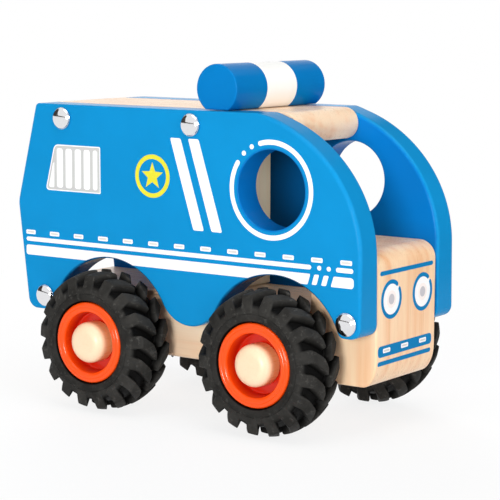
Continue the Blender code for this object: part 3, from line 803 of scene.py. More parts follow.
def print_finish(name, tint):
    """Screen print: flat ink with a fine grain."""
    material, tree, shader = new_material(name)
    grains = noise(tree, coordinates(tree), scale=1400.0)
    coat = mixed(tree, grains, toned(tint, 0.965), toned(tint, 1.02))
    surface_of(tree, shader, coat, ranged(tree, grains, 0.3, 0.7, 0.45, 0.55), specular=0.05)
    return material


def shared(name, finish, *values, **named):
    """The material of that name, made when it is first asked for."""
    return bpy.data.materials.get(name) or finish(name, *values, **named)


def tint_of(name):
    """One of the settings' colours, as plain numbers."""
    return tuple(getattr(settings().colours, name))


# Pieces


def centre_of(node):
    """The middle of a node's box."""
    low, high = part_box(node)
    return np.array((low + high) / 2)


def axis_of(node):
    """Where a node's axis along Y meets the car's middle plane."""
    return centre_of(node) * (1, 0, 1)


def reach(node):
    """A node's least and greatest distance from the car's middle plane, and half its height."""
    low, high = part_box(node)
    back, face = sorted((abs(low.y), abs(high.y)))
    return back, face, (high.z - low.z) / 2


def nose_start(sizes):
    """The place along the car and the ellipse's angle where the nose curve leaves the flat top."""
    angle = math.asin(sizes.nose_drop / (sizes.nose_drop + sizes.nose_overshoot))
    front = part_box("right_side_panel")[1].x
    return front - sizes.nose_length * (1 - math.cos(angle)), angle


def arch_centres(sizes):
    """The middles of the front and the rear wheel arch, as (x, z)."""
    axles = [axis_of(f"{end}_axle") for end in ENDS]
    return [(axle[0], axle[2] + sizes.arch_rise) for axle in axles]


def window_centre(sizes):
    """The middle of the round window, as (x, z)."""
    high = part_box("right_side_panel")[1]
    return (high.x - sizes.window_setback, high.z - sizes.window_drop)


def panel_path(sizes):
    """The side panel's outline, forwards along the top and back below.

    It is the nose's ellipse, the front foot, two arches with a round lobe between them, the rear foot, the
    bulge and the rear end of the flat top. Heels, arches and lobe are arcs that touch one another.
    """
    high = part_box("right_side_panel")[1]
    front, top = high.x, high.z
    rear = -front
    arches = arch_centres(sizes)
    arch_z = arches[0][1]
    radius = sizes.arch_radius

    def heel(arch, side, height):
        """The middle of the round between a foot and its arch."""
        rise = height + sizes.heel_radius - arch_z
        along = math.sqrt((radius + sizes.heel_radius) ** 2 - rise**2)
        return (arch[0] + side * along, height + sizes.heel_radius)

    def towards(a, b):
        """The angle of the way from one point to another."""
        return math.atan2(b[1] - a[1], b[0] - a[0])

    nose = (front - sizes.nose_length, top - sizes.nose_drop)
    crest = sizes.nose_drop + sizes.nose_overshoot
    kink_x, kink_angle = nose_start(sizes)
    front_heel = heel(arches[0], 1, sizes.front_foot_height)
    rear_heel = heel(arches[1], -1, sizes.rear_foot_height)
    half = (arches[0][0] - arches[1][0]) / 2
    rise = sizes.lobe_height - arch_z
    lobe_radius = (half**2 + rise**2 - radius**2) / (2 * (radius - rise))
    lobe = ((arches[0][0] + arches[1][0]) / 2, sizes.lobe_height + lobe_radius)
    down = -math.pi / 2
    round_arch = (radius, radius)
    round_heel = (sizes.heel_radius, sizes.heel_radius)
    front_foot = (front, sizes.front_foot_height)
    rear_foot = (rear + sizes.rear_foot_setback, sizes.rear_foot_height)
    bulge = (rear, top - sizes.bulge_drop)
    rear_top = (rear + sizes.rear_top_setback, top)
    parts = [
        np.array([(kink_x - 0.0005, top)]),
        arc(nose, (sizes.nose_length, crest), kink_angle, 0, 90),
        rounded_corner((front, nose[1]), front_foot, (front_heel[0], front_foot[1]), sizes.foot_radius, 14),
        arc(front_heel, round_heel, down, towards(front_heel, arches[0]), 14),
        arc(arches[0], round_arch, towards(arches[0], front_heel), towards(arches[0], lobe), 72)[1:],
        arc(lobe, (lobe_radius, lobe_radius), towards(lobe, arches[0]), towards(lobe, arches[1]), 36)[1:],
        arc(arches[1], round_arch, towards(arches[1], lobe), towards(arches[1], rear_heel), 72)[1:],
        arc(rear_heel, round_heel, towards(rear_heel, arches[1]), down, 14)[1:],
        rounded_corner((rear_heel[0], rear_foot[1]), rear_foot, bulge, sizes.foot_radius, 14),
        rounded_corner(rear_foot, bulge, rear_top, sizes.bulge_radius, 10),
        rounded_corner(bulge, rear_top, (front, top), sizes.rear_top_radius, 10),
    ]
    return np.concatenate(parts)


class CAR_OT_side_panels(bpy.types.Operator):
    """Build the two painted side panels with their round windows"""

    bl_idname = "toy_car.side_panels"
    bl_label = "Side panels"

    def execute(self, context):
        sizes = settings().panel
        # Shares of the inner tint painted as shade on the walls of the arches and the window.
        arch_shade, window_shade = 0.3, 0.86
        bores = [(*middle, sizes.arch_radius, arch_shade) for middle in arch_centres(sizes)]
        bores.append((*window_centre(sizes), sizes.window_radius, window_shade))
        paint = shared("panel_satin_paint", paint_finish, tint_of("panel_blue"), inner=tint_of("shaded_inner_blue"),
                       bores=bores)
        path = panel_path(sizes)
        edges = self.edge_radii(sizes, path)
        window = circle(window_centre(sizes), sizes.window_radius, 128)
        for side in SIDES:
            node = f"{side}_side_panel"
            low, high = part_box(node)
            section = edge_section(low.y, high.y)
            surface = board(path, section, edges, [(window, section, sizes.window_edge)])
            make_piece(f"{side}_painted_panel", surface, "body", [paint], [node])
        return {"FINISHED"}

    def edge_radii(self, sizes, path):
        """The edge's round along the outline: tight on the flat top, growing into the nose, even below it."""
        x, z = path.T
        start = nose_start(sizes)[0]
        nose = smooth_step((x - start) / sizes.nose_blend)
        upper = sizes.top_edge + (sizes.nose_edge - sizes.top_edge) * nose
        front_drop = smooth_step((z.max() - sizes.nose_drop - z) / sizes.nose_blend)
        front = upper + (sizes.edge - upper) * front_drop
        rear = np.where(z > z.max() - 1e-5, sizes.top_edge, sizes.edge)
        return np.where(x > start - 0.001, front, rear)


class CAR_OT_wood_blocks(bpy.types.Operator):
    """Build the roof, the floor block, the bulkhead and the bonnet from bare wood"""

    bl_idname = "toy_car.wood_blocks"
    bl_label = "Wooden blocks"

    def execute(self, context):
        sizes = settings().block
        sharp = 0.0006
        pale, tan = tint_of("wood_pale"), tint_of("wood_tan")
        # Lighter copies of the wood for the roof and chassis and a whiter cream for the bulkhead: painted
        # light.
        light, soft = blended(pale, (1, 1, 1), 0.15), blended(tan, pale, 0.12)
        lit_cream = blended(pale, (1, 1, 1), 1.0, 0.6, 0.25)

        path = self.box_path("roof_board", [sharp, sharp, sizes.roof_nose, sizes.roof_nose], 12)
        wood = shared("roof_wood", wood_finish, "X", (0, 0.012, 0.205), light, soft, ring=0.0032,
                      strength=0.45)
        self.block("roof_plank", "roof_board", path, sizes.roof_edge, wood)

        path = self.box_path("bulkhead", [sharp] * 4, 5)
        wood = shared("bulkhead_wood", wood_finish, "Z", (-0.05, 0.006, 0), lit_cream, pale, ring=0.0024,
                      strength=0.4)
        self.block("cab_bulkhead", "bulkhead", path, sizes.bulkhead_edge, wood)

        path = self.box_path("chassis_block", [sizes.chassis_corner] * 4, 8)
        wood = shared("chassis_wood", wood_finish, "X", (0, 0.02, 0.075), light, soft, ring=0.0028,
                      strength=0.4)
        low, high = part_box("chassis_block")
        bore = edge_section(low.y, high.y, 3)
        bores = [(circle(axis_of(f"{end}_axle")[[0, 2]], sizes.axle_bore, 48), bore, 0.0004) for end in ENDS]
        self.block("floor_block", "chassis_block", path, sizes.chassis_edge, wood, bores)

        wood = shared("bonnet_wood", wood_finish, "Z", (0.12, -0.03, 0), pale, tan, ring=0.0042, strength=0.6)
        self.block("bonnet_front", "bonnet_block", self.bonnet_path(sizes), sizes.bonnet_edge, wood)
        return {"FINISHED"}

    def box_path(self, node, radii, steps):
        """A node's box seen from its side, its corners rounded in turn from rear low to front low."""
        low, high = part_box(node)
        corners = [(low.x, low.z), (low.x, high.z), (high.x, high.z), (high.x, low.z)]
        return rounded_path(corners, radii, steps)

    def bonnet_path(self, sizes):
        """The bonnet seen from its side: two sharp rear corners, a round brow and an elliptical chin."""
        low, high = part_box("bonnet_block")
        sharp = 0.0008
        brow, chin = sizes.bonnet_brow, (sizes.bonnet_chin_length, sizes.bonnet_chin_rise)
        return np.concatenate((
            rounded_corner((high.x, low.z), (low.x, low.z), (low.x, high.z), sharp, 5),
            rounded_corner((low.x, low.z), (low.x, high.z), (high.x, high.z), sharp, 5),
            arc((high.x - brow, high.z - brow), (brow, brow), math.pi / 2, 0, 24),
            arc((high.x - chin[0], low.z + chin[1]), chin, 0, -math.pi / 2, 28),
        ))

    def block(self, name, node, path, edge, wood, bores=()):
        """One block: its path swept from one side of its node to the other."""
        low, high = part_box(node)
        surface = board(path, edge_section(low.y, high.y), edge, bores)
        make_piece(name, surface, "body", [wood], [node])


class CAR_OT_light_bar(bpy.types.Operator):
    """Build the light bar: a dowel planed flat underneath, painted blue, white and blue"""

    bl_idname = "toy_car.light_bar"
    bl_label = "Light bar"

    def execute(self, context):
        sizes = settings().block
        paints = [shared(f"light_{name}", paint_finish, tint_of(name), "Y")
                  for name in ("bar_blue", "bar_white")]
        low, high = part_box("light_bar")
        radius, band = sizes.bar_radius, sizes.bar_band / 2
        rise = radius - sizes.bar_flat
        middle = ((low.x + high.x) / 2, low.z + rise)
        angle = math.asin(rise / radius)
        rounded = arc(middle, (radius, radius), math.pi + angle, -angle, 96)
        flat = np.linspace(rounded[-1], rounded[0], 10)[1:-1]
        section = edge_section(low.y, high.y, between=(-band, band))
        surface = board(np.concatenate((rounded, flat)), section, sizes.bar_edge)
        middles = np.concatenate([surface[0][group].mean(axis=1) for group in surface[2]])
        make_piece("roof_light_bar", surface, "body", paints, ["light_bar"],
                   np.abs(middles[:, 1]) < band)
        return {"FINISHED"}


def screw_profile(tip, seat, crown, radius, sizes):
    """A screw from its tip to its crown: shank, flared neck, thin brim and a dome that is half an ellipse."""
    shank, dome_radius = sizes.screw_shank, radius * 0.97
    brim = seat + sizes.screw_lift
    foot = brim + sizes.screw_brim
    rows = [
        (0, tip, 0), (shank * 0.25, tip, 0.0002), (shank, tip + 2 * shank, 0.0006), (shank, seat, 0.0002),
        (sizes.screw_neck, seat, 0.0002), (radius, brim, 0.00012), (radius, foot, 0.00008),
        (dome_radius, foot, 0),
    ]
    lower = lathe_profile(rows, 4)[:-1]
    rise = crown - foot
    dome = arc((0, foot), (dome_radius, rise), 0, math.pi / 2, 18)
    away = np.column_stack((dome[:, 0] / dome_radius**2, (dome[:, 1] - foot) / rise**2))
    away /= np.linalg.norm(away, axis=1)[:, None]
    dome[-1, 0] = 0
    return np.concatenate((lower, np.column_stack((dome, away))))


class CAR_OT_screws(bpy.types.Operator):
    """Build the chrome screws, each a dome on a thin brim with a shank behind it"""

    bl_idname = "toy_car.screws"
    bl_label = "Screws"

    def execute(self, context):
        chrome = shared("polished_chrome", chrome_finish, tint_of("chrome"))
        for side, sign in SIDES.items():
            seat = reach(f"{side}_side_panel")[1]
            for place in ("roof_rear", "roof_front", "chassis", "bonnet"):
                node = f"{side}_{place}_screw"
                tip, crown, radius = reach(node)
                profile = screw_profile(tip, seat, crown, radius, settings().wheel)
                surface = turned(profile, axis_of(node), sign, 64)
                make_piece(f"{side}_{place}_cap_screw", surface, "body", [chrome], [node])
        return {"FINISHED"}


class CAR_OT_axles(bpy.types.Operator):
    """Build the two wooden dowels that the wheels turn on"""

    bl_idname = "toy_car.axles"
    bl_label = "Axles"

    def execute(self, context):
        bend = settings().wheel.axle_round
        for end in ENDS:
            node = f"{end}_axle"
            low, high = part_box(node)
            radius = reach(node)[2]
            rows = [(0, low.y, 0), (radius, low.y, bend), (radius, high.y, bend), (0, high.y, 0)]
            wood = shared(f"{end}_axle_wood", wood_finish, "Y", centre_of(node) + (0.011, 0, 0.006),
                          tint_of("wood_pale"), tint_of("wood_tan"), ring=0.0021, strength=0.5)
            surface = turned(lathe_profile(rows, 6), axis_of(node), 1, 64)
            make_piece(f"{end}_dowel", surface, "body", [wood], [node])
        return {"FINISHED"}


class CAR_OT_rims(bpy.types.Operator):
    """Build the deep-dish plastic rims, with a rolled and grooved lip and a boss behind"""

    bl_idname = "toy_car.rims"
    bl_label = "Rims"

    def execute(self, context):
        plastic = shared("moulded_orange", plastic_finish, tint_of("plastic_orange"))
        for corner, _, sign in WHEELS:
            node, wheel = f"{corner}_rim", f"{corner}_wheel"
            back, face = reach(node)[:2]
            surface = turned(self.profile(settings().wheel, back, face), axis_of(node), sign, 128)
            make_piece(f"{wheel}_rim", surface, wheel, [plastic], [node])
        return {"FINISHED"}

    def profile(self, sizes, back, face):
        """The rim's closed section as (radius, y, bend) corners.

        They are the bore, boss, hollow, flange, barrel, lip with its groove, dish wall and floor.
        """
        floor, lip_back = face - sizes.dish_depth, face - sizes.lip_depth
        flange = back + sizes.flange_setback
        seat = flange + sizes.flange
        web, hollow = floor - sizes.rim_wall, sizes.barrel_radius - sizes.rim_wall
        bore, boss, barrel = sizes.rim_bore, sizes.boss_radius, sizes.barrel_radius
        lip, dish, roll = sizes.lip_radius, sizes.dish_radius, sizes.lip_round
        middle, half_groove = (lip + dish) / 2 + 0.0001, 0.0003
        rows = [
            (bore, back, 0.0003), (boss, back, 0.0004), (boss, web, 0.0006), (hollow, web, 0.0006),
            (hollow, flange, 0.0003), (lip, flange, 0.0004), (lip, seat, 0.0004), (barrel, seat, 0.0003),
            (barrel, lip_back, 0.0003), (lip, lip_back, roll), (lip, face, roll),
            (middle + half_groove, face, 0.0001), (middle, face - sizes.groove, 0.00012),
            (middle - half_groove, face, 0.0001), (dish, face, roll), (sizes.dish_foot, floor, 0.0007),
            (bore, floor, 0.0003),
        ]
        return lathe_profile(rows, 7, closed=True)


def tyre_section(sizes):
    """Half of a tyre's section, from the middle of the tread to the middle of the bore.

    Rows of (distance out, radius) for the carcass and for the carcass with a lug on it. The tread is a
    shallow parabola. The shoulder is a superellipse, nearly straight on a lug and round on the carcass.
    The sidewall is a parabola that stands round the rim's lip.
    """
    share = np.array([0, 0.04, 0.08, 0.11, 0.14, 0.18, 0.23, 0.3, 0.38, 0.47, 0.58, 0.69, 0.8, 0.91])
    out, fall = share * sizes.tread_half, share**2 * sizes.tread_fall
    crest, foot = sizes.sidewall_out, sizes.shoulder_foot
    t = np.linspace(0, math.pi / 2, 18)
    treads, shoulders = [], []
    for crown, side, power in ((sizes.radius - sizes.lug_depth, crest - 0.0005, 1.0),
                               (sizes.radius, crest - 0.0001, 1.7)):
        treads.append(np.column_stack((out, crown - fall)))
        corner = crown - sizes.tread_fall
        y = sizes.tread_half + (side - sizes.tread_half) * np.sin(t) ** power
        shoulders.append(np.column_stack((y, foot + (corner - foot) * np.cos(t) ** power)))
    step = np.array([(crest - 0.00055, foot - 0.0002), (crest - 0.00025, foot - 0.0004)])
    radius = np.linspace(foot - 0.0006, sizes.bead_radius + 0.0002, 9)
    bulge = (radius - foot + 0.0013) / (sizes.bead_radius - foot + 0.0013)
    sidewall = np.column_stack((crest - 0.0008 * bulge**2, radius))
    recess = sizes.bead_out - 0.00015
    bead = np.array([(crest - 0.0012, sizes.bead_radius), (recess + 0.0003, sizes.bead_radius),
                     (recess, sizes.bead_radius - 0.0003), (recess, sizes.bore_radius + 0.0004),
                     (recess - 0.0004, sizes.bore_radius), (recess / 2, sizes.bore_radius)])
    plain = np.concatenate((step, sidewall, bead))
    return [np.concatenate((treads[k], shoulders[k], plain)) for k in (0, 1)]


def tyre_surface(sizes, middle, side, phase):
    """A tyre as a closed grid: columns round the wheel, rows round its section.

    point = carcass + rise * (lug - carcass). The rise is a smooth step across a lug's side walls and its
    inner end. A lug's trailing edge turns evenly from the middle of the tread to the shoulder, and the lug
    widens ahead of it, so the lugs lie in a chevron. Columns crowd at the walls, and the two halves are
    half a pitch apart. Each point also has a share of painted shade for the rubber: its depth below the
    lugs, as a share of their height, a low share on the sidewall, and the full share on the bead next to
    the rim, which paints a shadow line there.
    """
    # Shares of painted shade on the sidewall and of a painted shadow line on the bead.
    sidewall_shade, bead_shadow = 0.27, 1.0
    lug_end, merge, core_radius, quarter = 0.0009, 0.0012, 0.022, 0.25
    carcass, lug = tyre_section(sizes)
    half_rows = len(carcass)
    room = np.linalg.norm(lug - carcass, axis=1)[:, None] / sizes.lug_depth
    plain = np.where(room < 0.02, sidewall_shade, 0.0)
    plain = np.where(carcass[:, 1:] < sizes.bead_radius + 0.0005, bead_shadow, plain)
    halves, shade_depths = [], []
    flat, wall = np.linspace(-0.17, 0.17, 6), np.linspace(0.17, 0.33, 10)[1:-1]
    spacing = np.concatenate((flat, wall, flat + 0.5, wall + 0.5))
    column = (np.arange(sizes.lugs)[:, None] + spacing[None]).ravel()
    whole = np.floor(column + quarter)
    local = column - whole
    pitch = 2 * math.pi / sizes.lugs
    out = np.minimum(carcass[:, 0], lug[:, 0])[:, None]
    along = smooth_step((out - sizes.lug_start) / (sizes.lug_taper - sizes.lug_start))
    width = sizes.lug_tip + (sizes.lug_root - sizes.lug_tip) * along
    turn = sizes.lug_slant * np.minimum(out, sizes.tread_half) / sizes.tread_half
    turn = turn + (width - sizes.lug_root) * pitch
    near = np.clip(out / merge, 0, 1)
    for half in (1, -1):
        share = width if half > 0 else 0.5 - width
        knot = quarter + (share - quarter) * near
        inner = local * (knot / quarter)
        outer = 0.5 + (local - 0.5) * ((0.5 - knot) / quarter)
        place = np.where(local < quarter, inner, outer)
        from_lug = np.abs(place) if half > 0 else np.abs(place - 0.5)
        from_lug = np.minimum(from_lug, np.abs(from_lug - 1))
        rise = smooth_step((width - from_lug) / sizes.lug_wall + 0.5)
        rise = rise * smooth_step((out - sizes.lug_start) / lug_end)
        angle = (whole + place) * pitch + turn + phase
        section = carcass[:, None] + rise[..., None] * (lug - carcass)[:, None]
        shade_depths.append((1 - rise) * room + plain)
        halves.append(np.stack((section[..., 1] * np.cos(angle), half * side * section[..., 0],
                                section[..., 1] * np.sin(angle)), axis=-1))
    bore = (halves[0][-1:] + halves[1][-1:]) / 2
    grid = np.concatenate((halves[0], bore, halves[1][:0:-1]))
    down = np.roll(grid, -1, axis=0) - np.roll(grid, 1, axis=0)
    across = np.roll(grid, -1, axis=1) - np.roll(grid, 1, axis=1)
    normals = np.cross(down, across)
    normals /= np.linalg.norm(normals, axis=2)[..., None]
    spokes = grid * (1, 0, 1)
    core = spokes / np.linalg.norm(spokes, axis=2)[..., None] * core_radius
    normals *= np.sign(np.sum(normals * (grid - core)))
    points, normals = grid.reshape(-1, 3), normals.reshape(-1, 3)
    quads = faced(points, grid_quads(2 * half_rows, len(column), close_rows=True), normals)
    # Each point's share of painted shade, which the rubber's material reads as depth.
    depth = np.concatenate((shade_depths[0], shade_depths[0][-1:], shade_depths[1][:0:-1])).ravel()
    return points + middle, normals, [quads], {"depth": depth}


class CAR_OT_tyres(bpy.types.Operator):
    """Build the rubber tyres, each a carcass with two rows of slanted lugs"""

    bl_idname = "toy_car.tyres"
    bl_label = "Tyres"

    def execute(self, context):
        rubber = shared("moulded_rubber", rubber_finish, tint_of("rubber_black"))
        turns = {"front_right": 0.0, "front_left": -5.5, "rear_right": -7.7, "rear_left": 9.0}
        for corner, end, sign in WHEELS:
            node = f"{corner}_tyre"
            middle = centre_of(node) * (0, 1, 0) + axis_of(f"{end}_axle")
            surface = tyre_surface(settings().wheel, middle, sign, math.radians(turns[corner]))
            make_piece(f"{corner}_rubber_tyre", surface, f"{corner}_wheel", [rubber], [node])
        return {"FINISHED"}


class CAR_OT_hub_caps(bpy.types.Operator):
    """Build the turned wooden hub caps over the axles' ends"""

    bl_idname = "toy_car.hub_caps"
    bl_label = "Hub caps"

    def execute(self, context):
        sizes = settings().wheel
        hole, glue_gap, foot_depth, foot_start = sizes.cap_bore, 0.00025, 0.0065, 0.0025
        for corner, end, sign in WHEELS:
            node = f"{corner}_hub_cap"
            back, face, radius = reach(node)
            hole_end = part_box(f"{end}_axle")[1].y + glue_gap
            rows = [(0, hole_end, 0), (hole, hole_end, 0.0002), (hole, back, 0.0003), (radius, back, 0.0005),
                    (radius, face - sizes.cap_crown, sizes.cap_round), (0, face, 0)]
            middle = axis_of(node)
            # The cap's foot band is painted orange bounce light and shade from the dish.
            wood = shared(f"{corner}_hub_cap_wood", wood_finish, "Y", middle + (0.004, 0, 0.009),
                          tint_of("cap_pale"), tint_of("cap_tan"), ring=0.0022, strength=0.16,
                          foot=(face - foot_depth, face - foot_start))
            surface = turned(lathe_profile(rows, 14), middle, sign, 96)
            make_piece(f"{corner}_wooden_cap", surface, "body", [wood], [node])
        return {"FINISHED"}


# Prints on the pieces, with their places and sizes in millimetres


def ink(name, tint_name):
    """The screen print of one of the settings' colours."""
    return shared(f"{name}_print", print_finish, tint_of(tint_name))


class CAR_OT_panel_prints(bpy.types.Operator):
    """Print the waist lines, dashes, stripes, window ring, barred window and badge on both panels"""

    bl_idname = "toy_car.panel_prints"
    bl_label = "Panel prints"

    def execute(self, context):
        sizes = settings().prints
        white, grey = ink("white", "print_white"), ink("grey", "dash_grey")
        shade, yellow = ink("pane", "pane_grey"), ink("yellow", "badge_yellow")
        dashes = [((sizes.stitch_front - k * sizes.stitch_pitch) / MM, sizes.stitch_height / MM)
                  for k in range(13)]
        plate, pane, bars = self.barred_window()
        lines = self.thin_line(sizes) + self.thick_line(sizes)
        lines += [bar_sheet(dash, (5.4, 1.9), 0.5) for dash in dashes]
        lines += self.stripes(sizes) + self.window_ring(sizes) + [plate]
        cores = [bar_sheet(dash, (4.1, 0.85), 0.3) for dash in dashes]
        layers = (
            ("white_lines", 1, lines, white),
            ("dash_cores", 2, cores, grey),
            ("window_pane", 2, [pane], shade),
            ("window_bars", 3, bars, white),
            ("badge", 1, self.badge(sizes), yellow),
        )
        for side, sign in SIDES.items():
            face = reach(f"{side}_side_panel")[1]
            for name, layer, sheets, layer_ink in layers:
                y = sign * (face + layer * sizes.lift)
                print_piece(f"{side}_{name}", sheets, lambda spots: np.insert(spots * MM, 1, y, axis=1),
                            (0, sign, 0), "body", layer_ink)
        return {"FINISHED"}

    def thin_line(self, sizes):
        """The thin waist line, with a gap that holds two dots before its short front end."""
        rear, height = sizes.line_rear / MM, sizes.thin_line / MM
        gap, width, corner = 66.8, 1.9, 0.9
        bars = [bar_sheet(((rear + gap) / 2, height), (gap - rear, width), corner),
                bar_sheet((82.5, height), (8.0, width), corner)]
        return bars + [disc_sheet((x, height), width / 2) for x in (70.54, 75.05)]

    def thick_line(self, sizes):
        """The thick waist line, cut by the wheel arches, with two slanted dashes before its front end."""
        panel = settings().panel
        rear, height, half, ease = sizes.line_rear / MM, sizes.thick_line / MM, 2.2, 0.1
        low, high = height - half, height + half
        arches = np.array(arch_centres(panel)) / MM
        clear = (panel.arch_radius + panel.edge) / MM - 0.35
        main = sloped_sheet(low, high, (rear, rear), (65.0, 66.3), (1.1, 0.5), 16)
        slants = [sloped_sheet(low + ease, high - ease, (x - 1.78, x - 0.52), (x + 0.52, x + 1.78),
                               (0.5, 0.5)) for x in (68.75, 73.28)]
        front = sloped_sheet(low, high - ease, (76.1, 77.4), (86.8, 86.8), (0.5, 1.4))
        return [over_arches(main, arches, clear), *slants, front]

    def stripes(self, sizes):
        """The two slanted stripes beside the window."""
        low, high, half = 81.0, 119.1, 2.7
        lean = sizes.stripe_slant * (high - low) / 2
        edges = [(x - half, x + half) for x in (4.45, 13.82)]
        return [sloped_sheet(low, high, (a - lean, a + lean), (b - lean, b + lean)) for a, b in edges]

    def window_ring(self, sizes):
        """The open ring round the window, with two dots in its gap."""
        middle = np.array(window_centre(settings().panel)) / MM
        start, stop = math.radians(144.8), math.radians(360 + 108.9)
        ring = ring_sheet(middle, sizes.ring_inner / MM, sizes.ring_outer / MM, start, stop, 160)
        return [ring] + [disc_sheet(spot, 1.02) for spot in ((37.39, 117.34), (33.49, 114.54))]

    def barred_window(self):
        """The barred window's white plate, its grey pane and its white bars, the last of them short."""
        plate = sloped_sheet(93.0, 113.3, (-73.5, -68.3), (-42.2, -42.35), (2.0, 0.6))
        pane = sloped_sheet(93.45, 112.85, (-72.9, -67.9), (-42.65, -42.78), (1.7, 0.35))
        low, high = 94.4, 111.7
        edges = [(-66.9, -63.4), (-61.85, -58.25), (-56.6, -53.1), (-51.55, -48.1), (-46.4, -43.95)]
        bars = [sloped_sheet(low, high, (a, a), (b, b), (1.1, 1.1)) for a, b in edges]
        bars.append(sloped_sheet(low, 105.4, (-71.6, -69.0), (-68.5, -68.4), (0.8, 0.3)))
        return plate, pane, bars

    def badge(self, sizes):
        """The badge: a five-point star in a ring."""
        middle = np.array((sizes.badge_place, sizes.badge_height)) / MM
        radius, ring_width = sizes.badge_radius / MM, 1.9
        return [ring_sheet(middle, radius - ring_width, radius), star_sheet(middle, outer=5.9, inner=2.5)]


class CAR_OT_bonnet_prints(bpy.types.Operator):
    """Print the headlights, the bars and the dashes on the bonnet"""

    bl_idname = "toy_car.bonnet_prints"
    bl_label = "Bonnet prints"

    def execute(self, context):
        sizes = settings().prints
        white, grey, blue = ink("white", "print_white"), ink("grey", "dash_grey"), ink("blue", "print_blue")
        halo, core = ink("halo", "print_halo"), ink("headlight", "print_core")
        lamps = [np.array((side * sizes.lamp_place, sizes.lamp_height)) / MM for side in (-1, 1)]
        radius = sizes.lamp_radius / MM
        gap = math.radians(46), math.radians(360 + 37)
        top, middle, low = (-0.25, 67.8), (-1.0, 35.9), (-1.25, 31.0)
        bars = [bar_sheet(top, (42.5, 1.85), 0.9), bar_sheet(middle, (43.0, 4.6), 1.7),
                bar_sheet(low, (42.5, 1.9), 0.92, rows=6)]
        dashes = [(y, 36.05) for y in (-15.8, -1.5, 13.2)]
        layers = (
            ("headlight_glass", 1, [disc_sheet(lamp, radius - 0.8) for lamp in lamps], white),
            ("headlight_halos", 2, [disc_sheet(lamp, 3.6) for lamp in lamps], halo),
            ("headlight_cores", 3, [disc_sheet(lamp, 2.15) for lamp in lamps], core),
            ("headlight_rings", 2, [ring_sheet(lamp, radius - 1.75, radius, *gap) for lamp in lamps], blue),
            ("bonnet_bars", 1, bars, blue),
            ("bonnet_dashes", 2, [bar_sheet(dash, (5.6, 1.85), 0.5) for dash in dashes], white),
            ("bonnet_dash_cores", 3, [bar_sheet(dash, (4.2, 0.85), 0.3) for dash in dashes], grey),
        )
        for name, layer, sheets, layer_ink in layers:
            print_piece(name, sheets, lambda spots: self.on_face(spots * MM, layer * sizes.lift), (1, 0, 0),
                        "body", layer_ink)
        return {"FINISHED"}

    def on_face(self, spots, lift):
        """Points on the bonnet's face, which is flat down to the chin's ellipse."""
        low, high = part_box("bonnet_block")
        block = settings().block
        drop = np.clip((low.z + block.bonnet_chin_rise - spots[:, 1]) / block.bonnet_chin_rise, 0, 1)
        x = high.x - block.bonnet_chin_length * (1 - np.sqrt(1 - drop**2))
        return np.column_stack((x + lift, spots))


# Stage, in metres


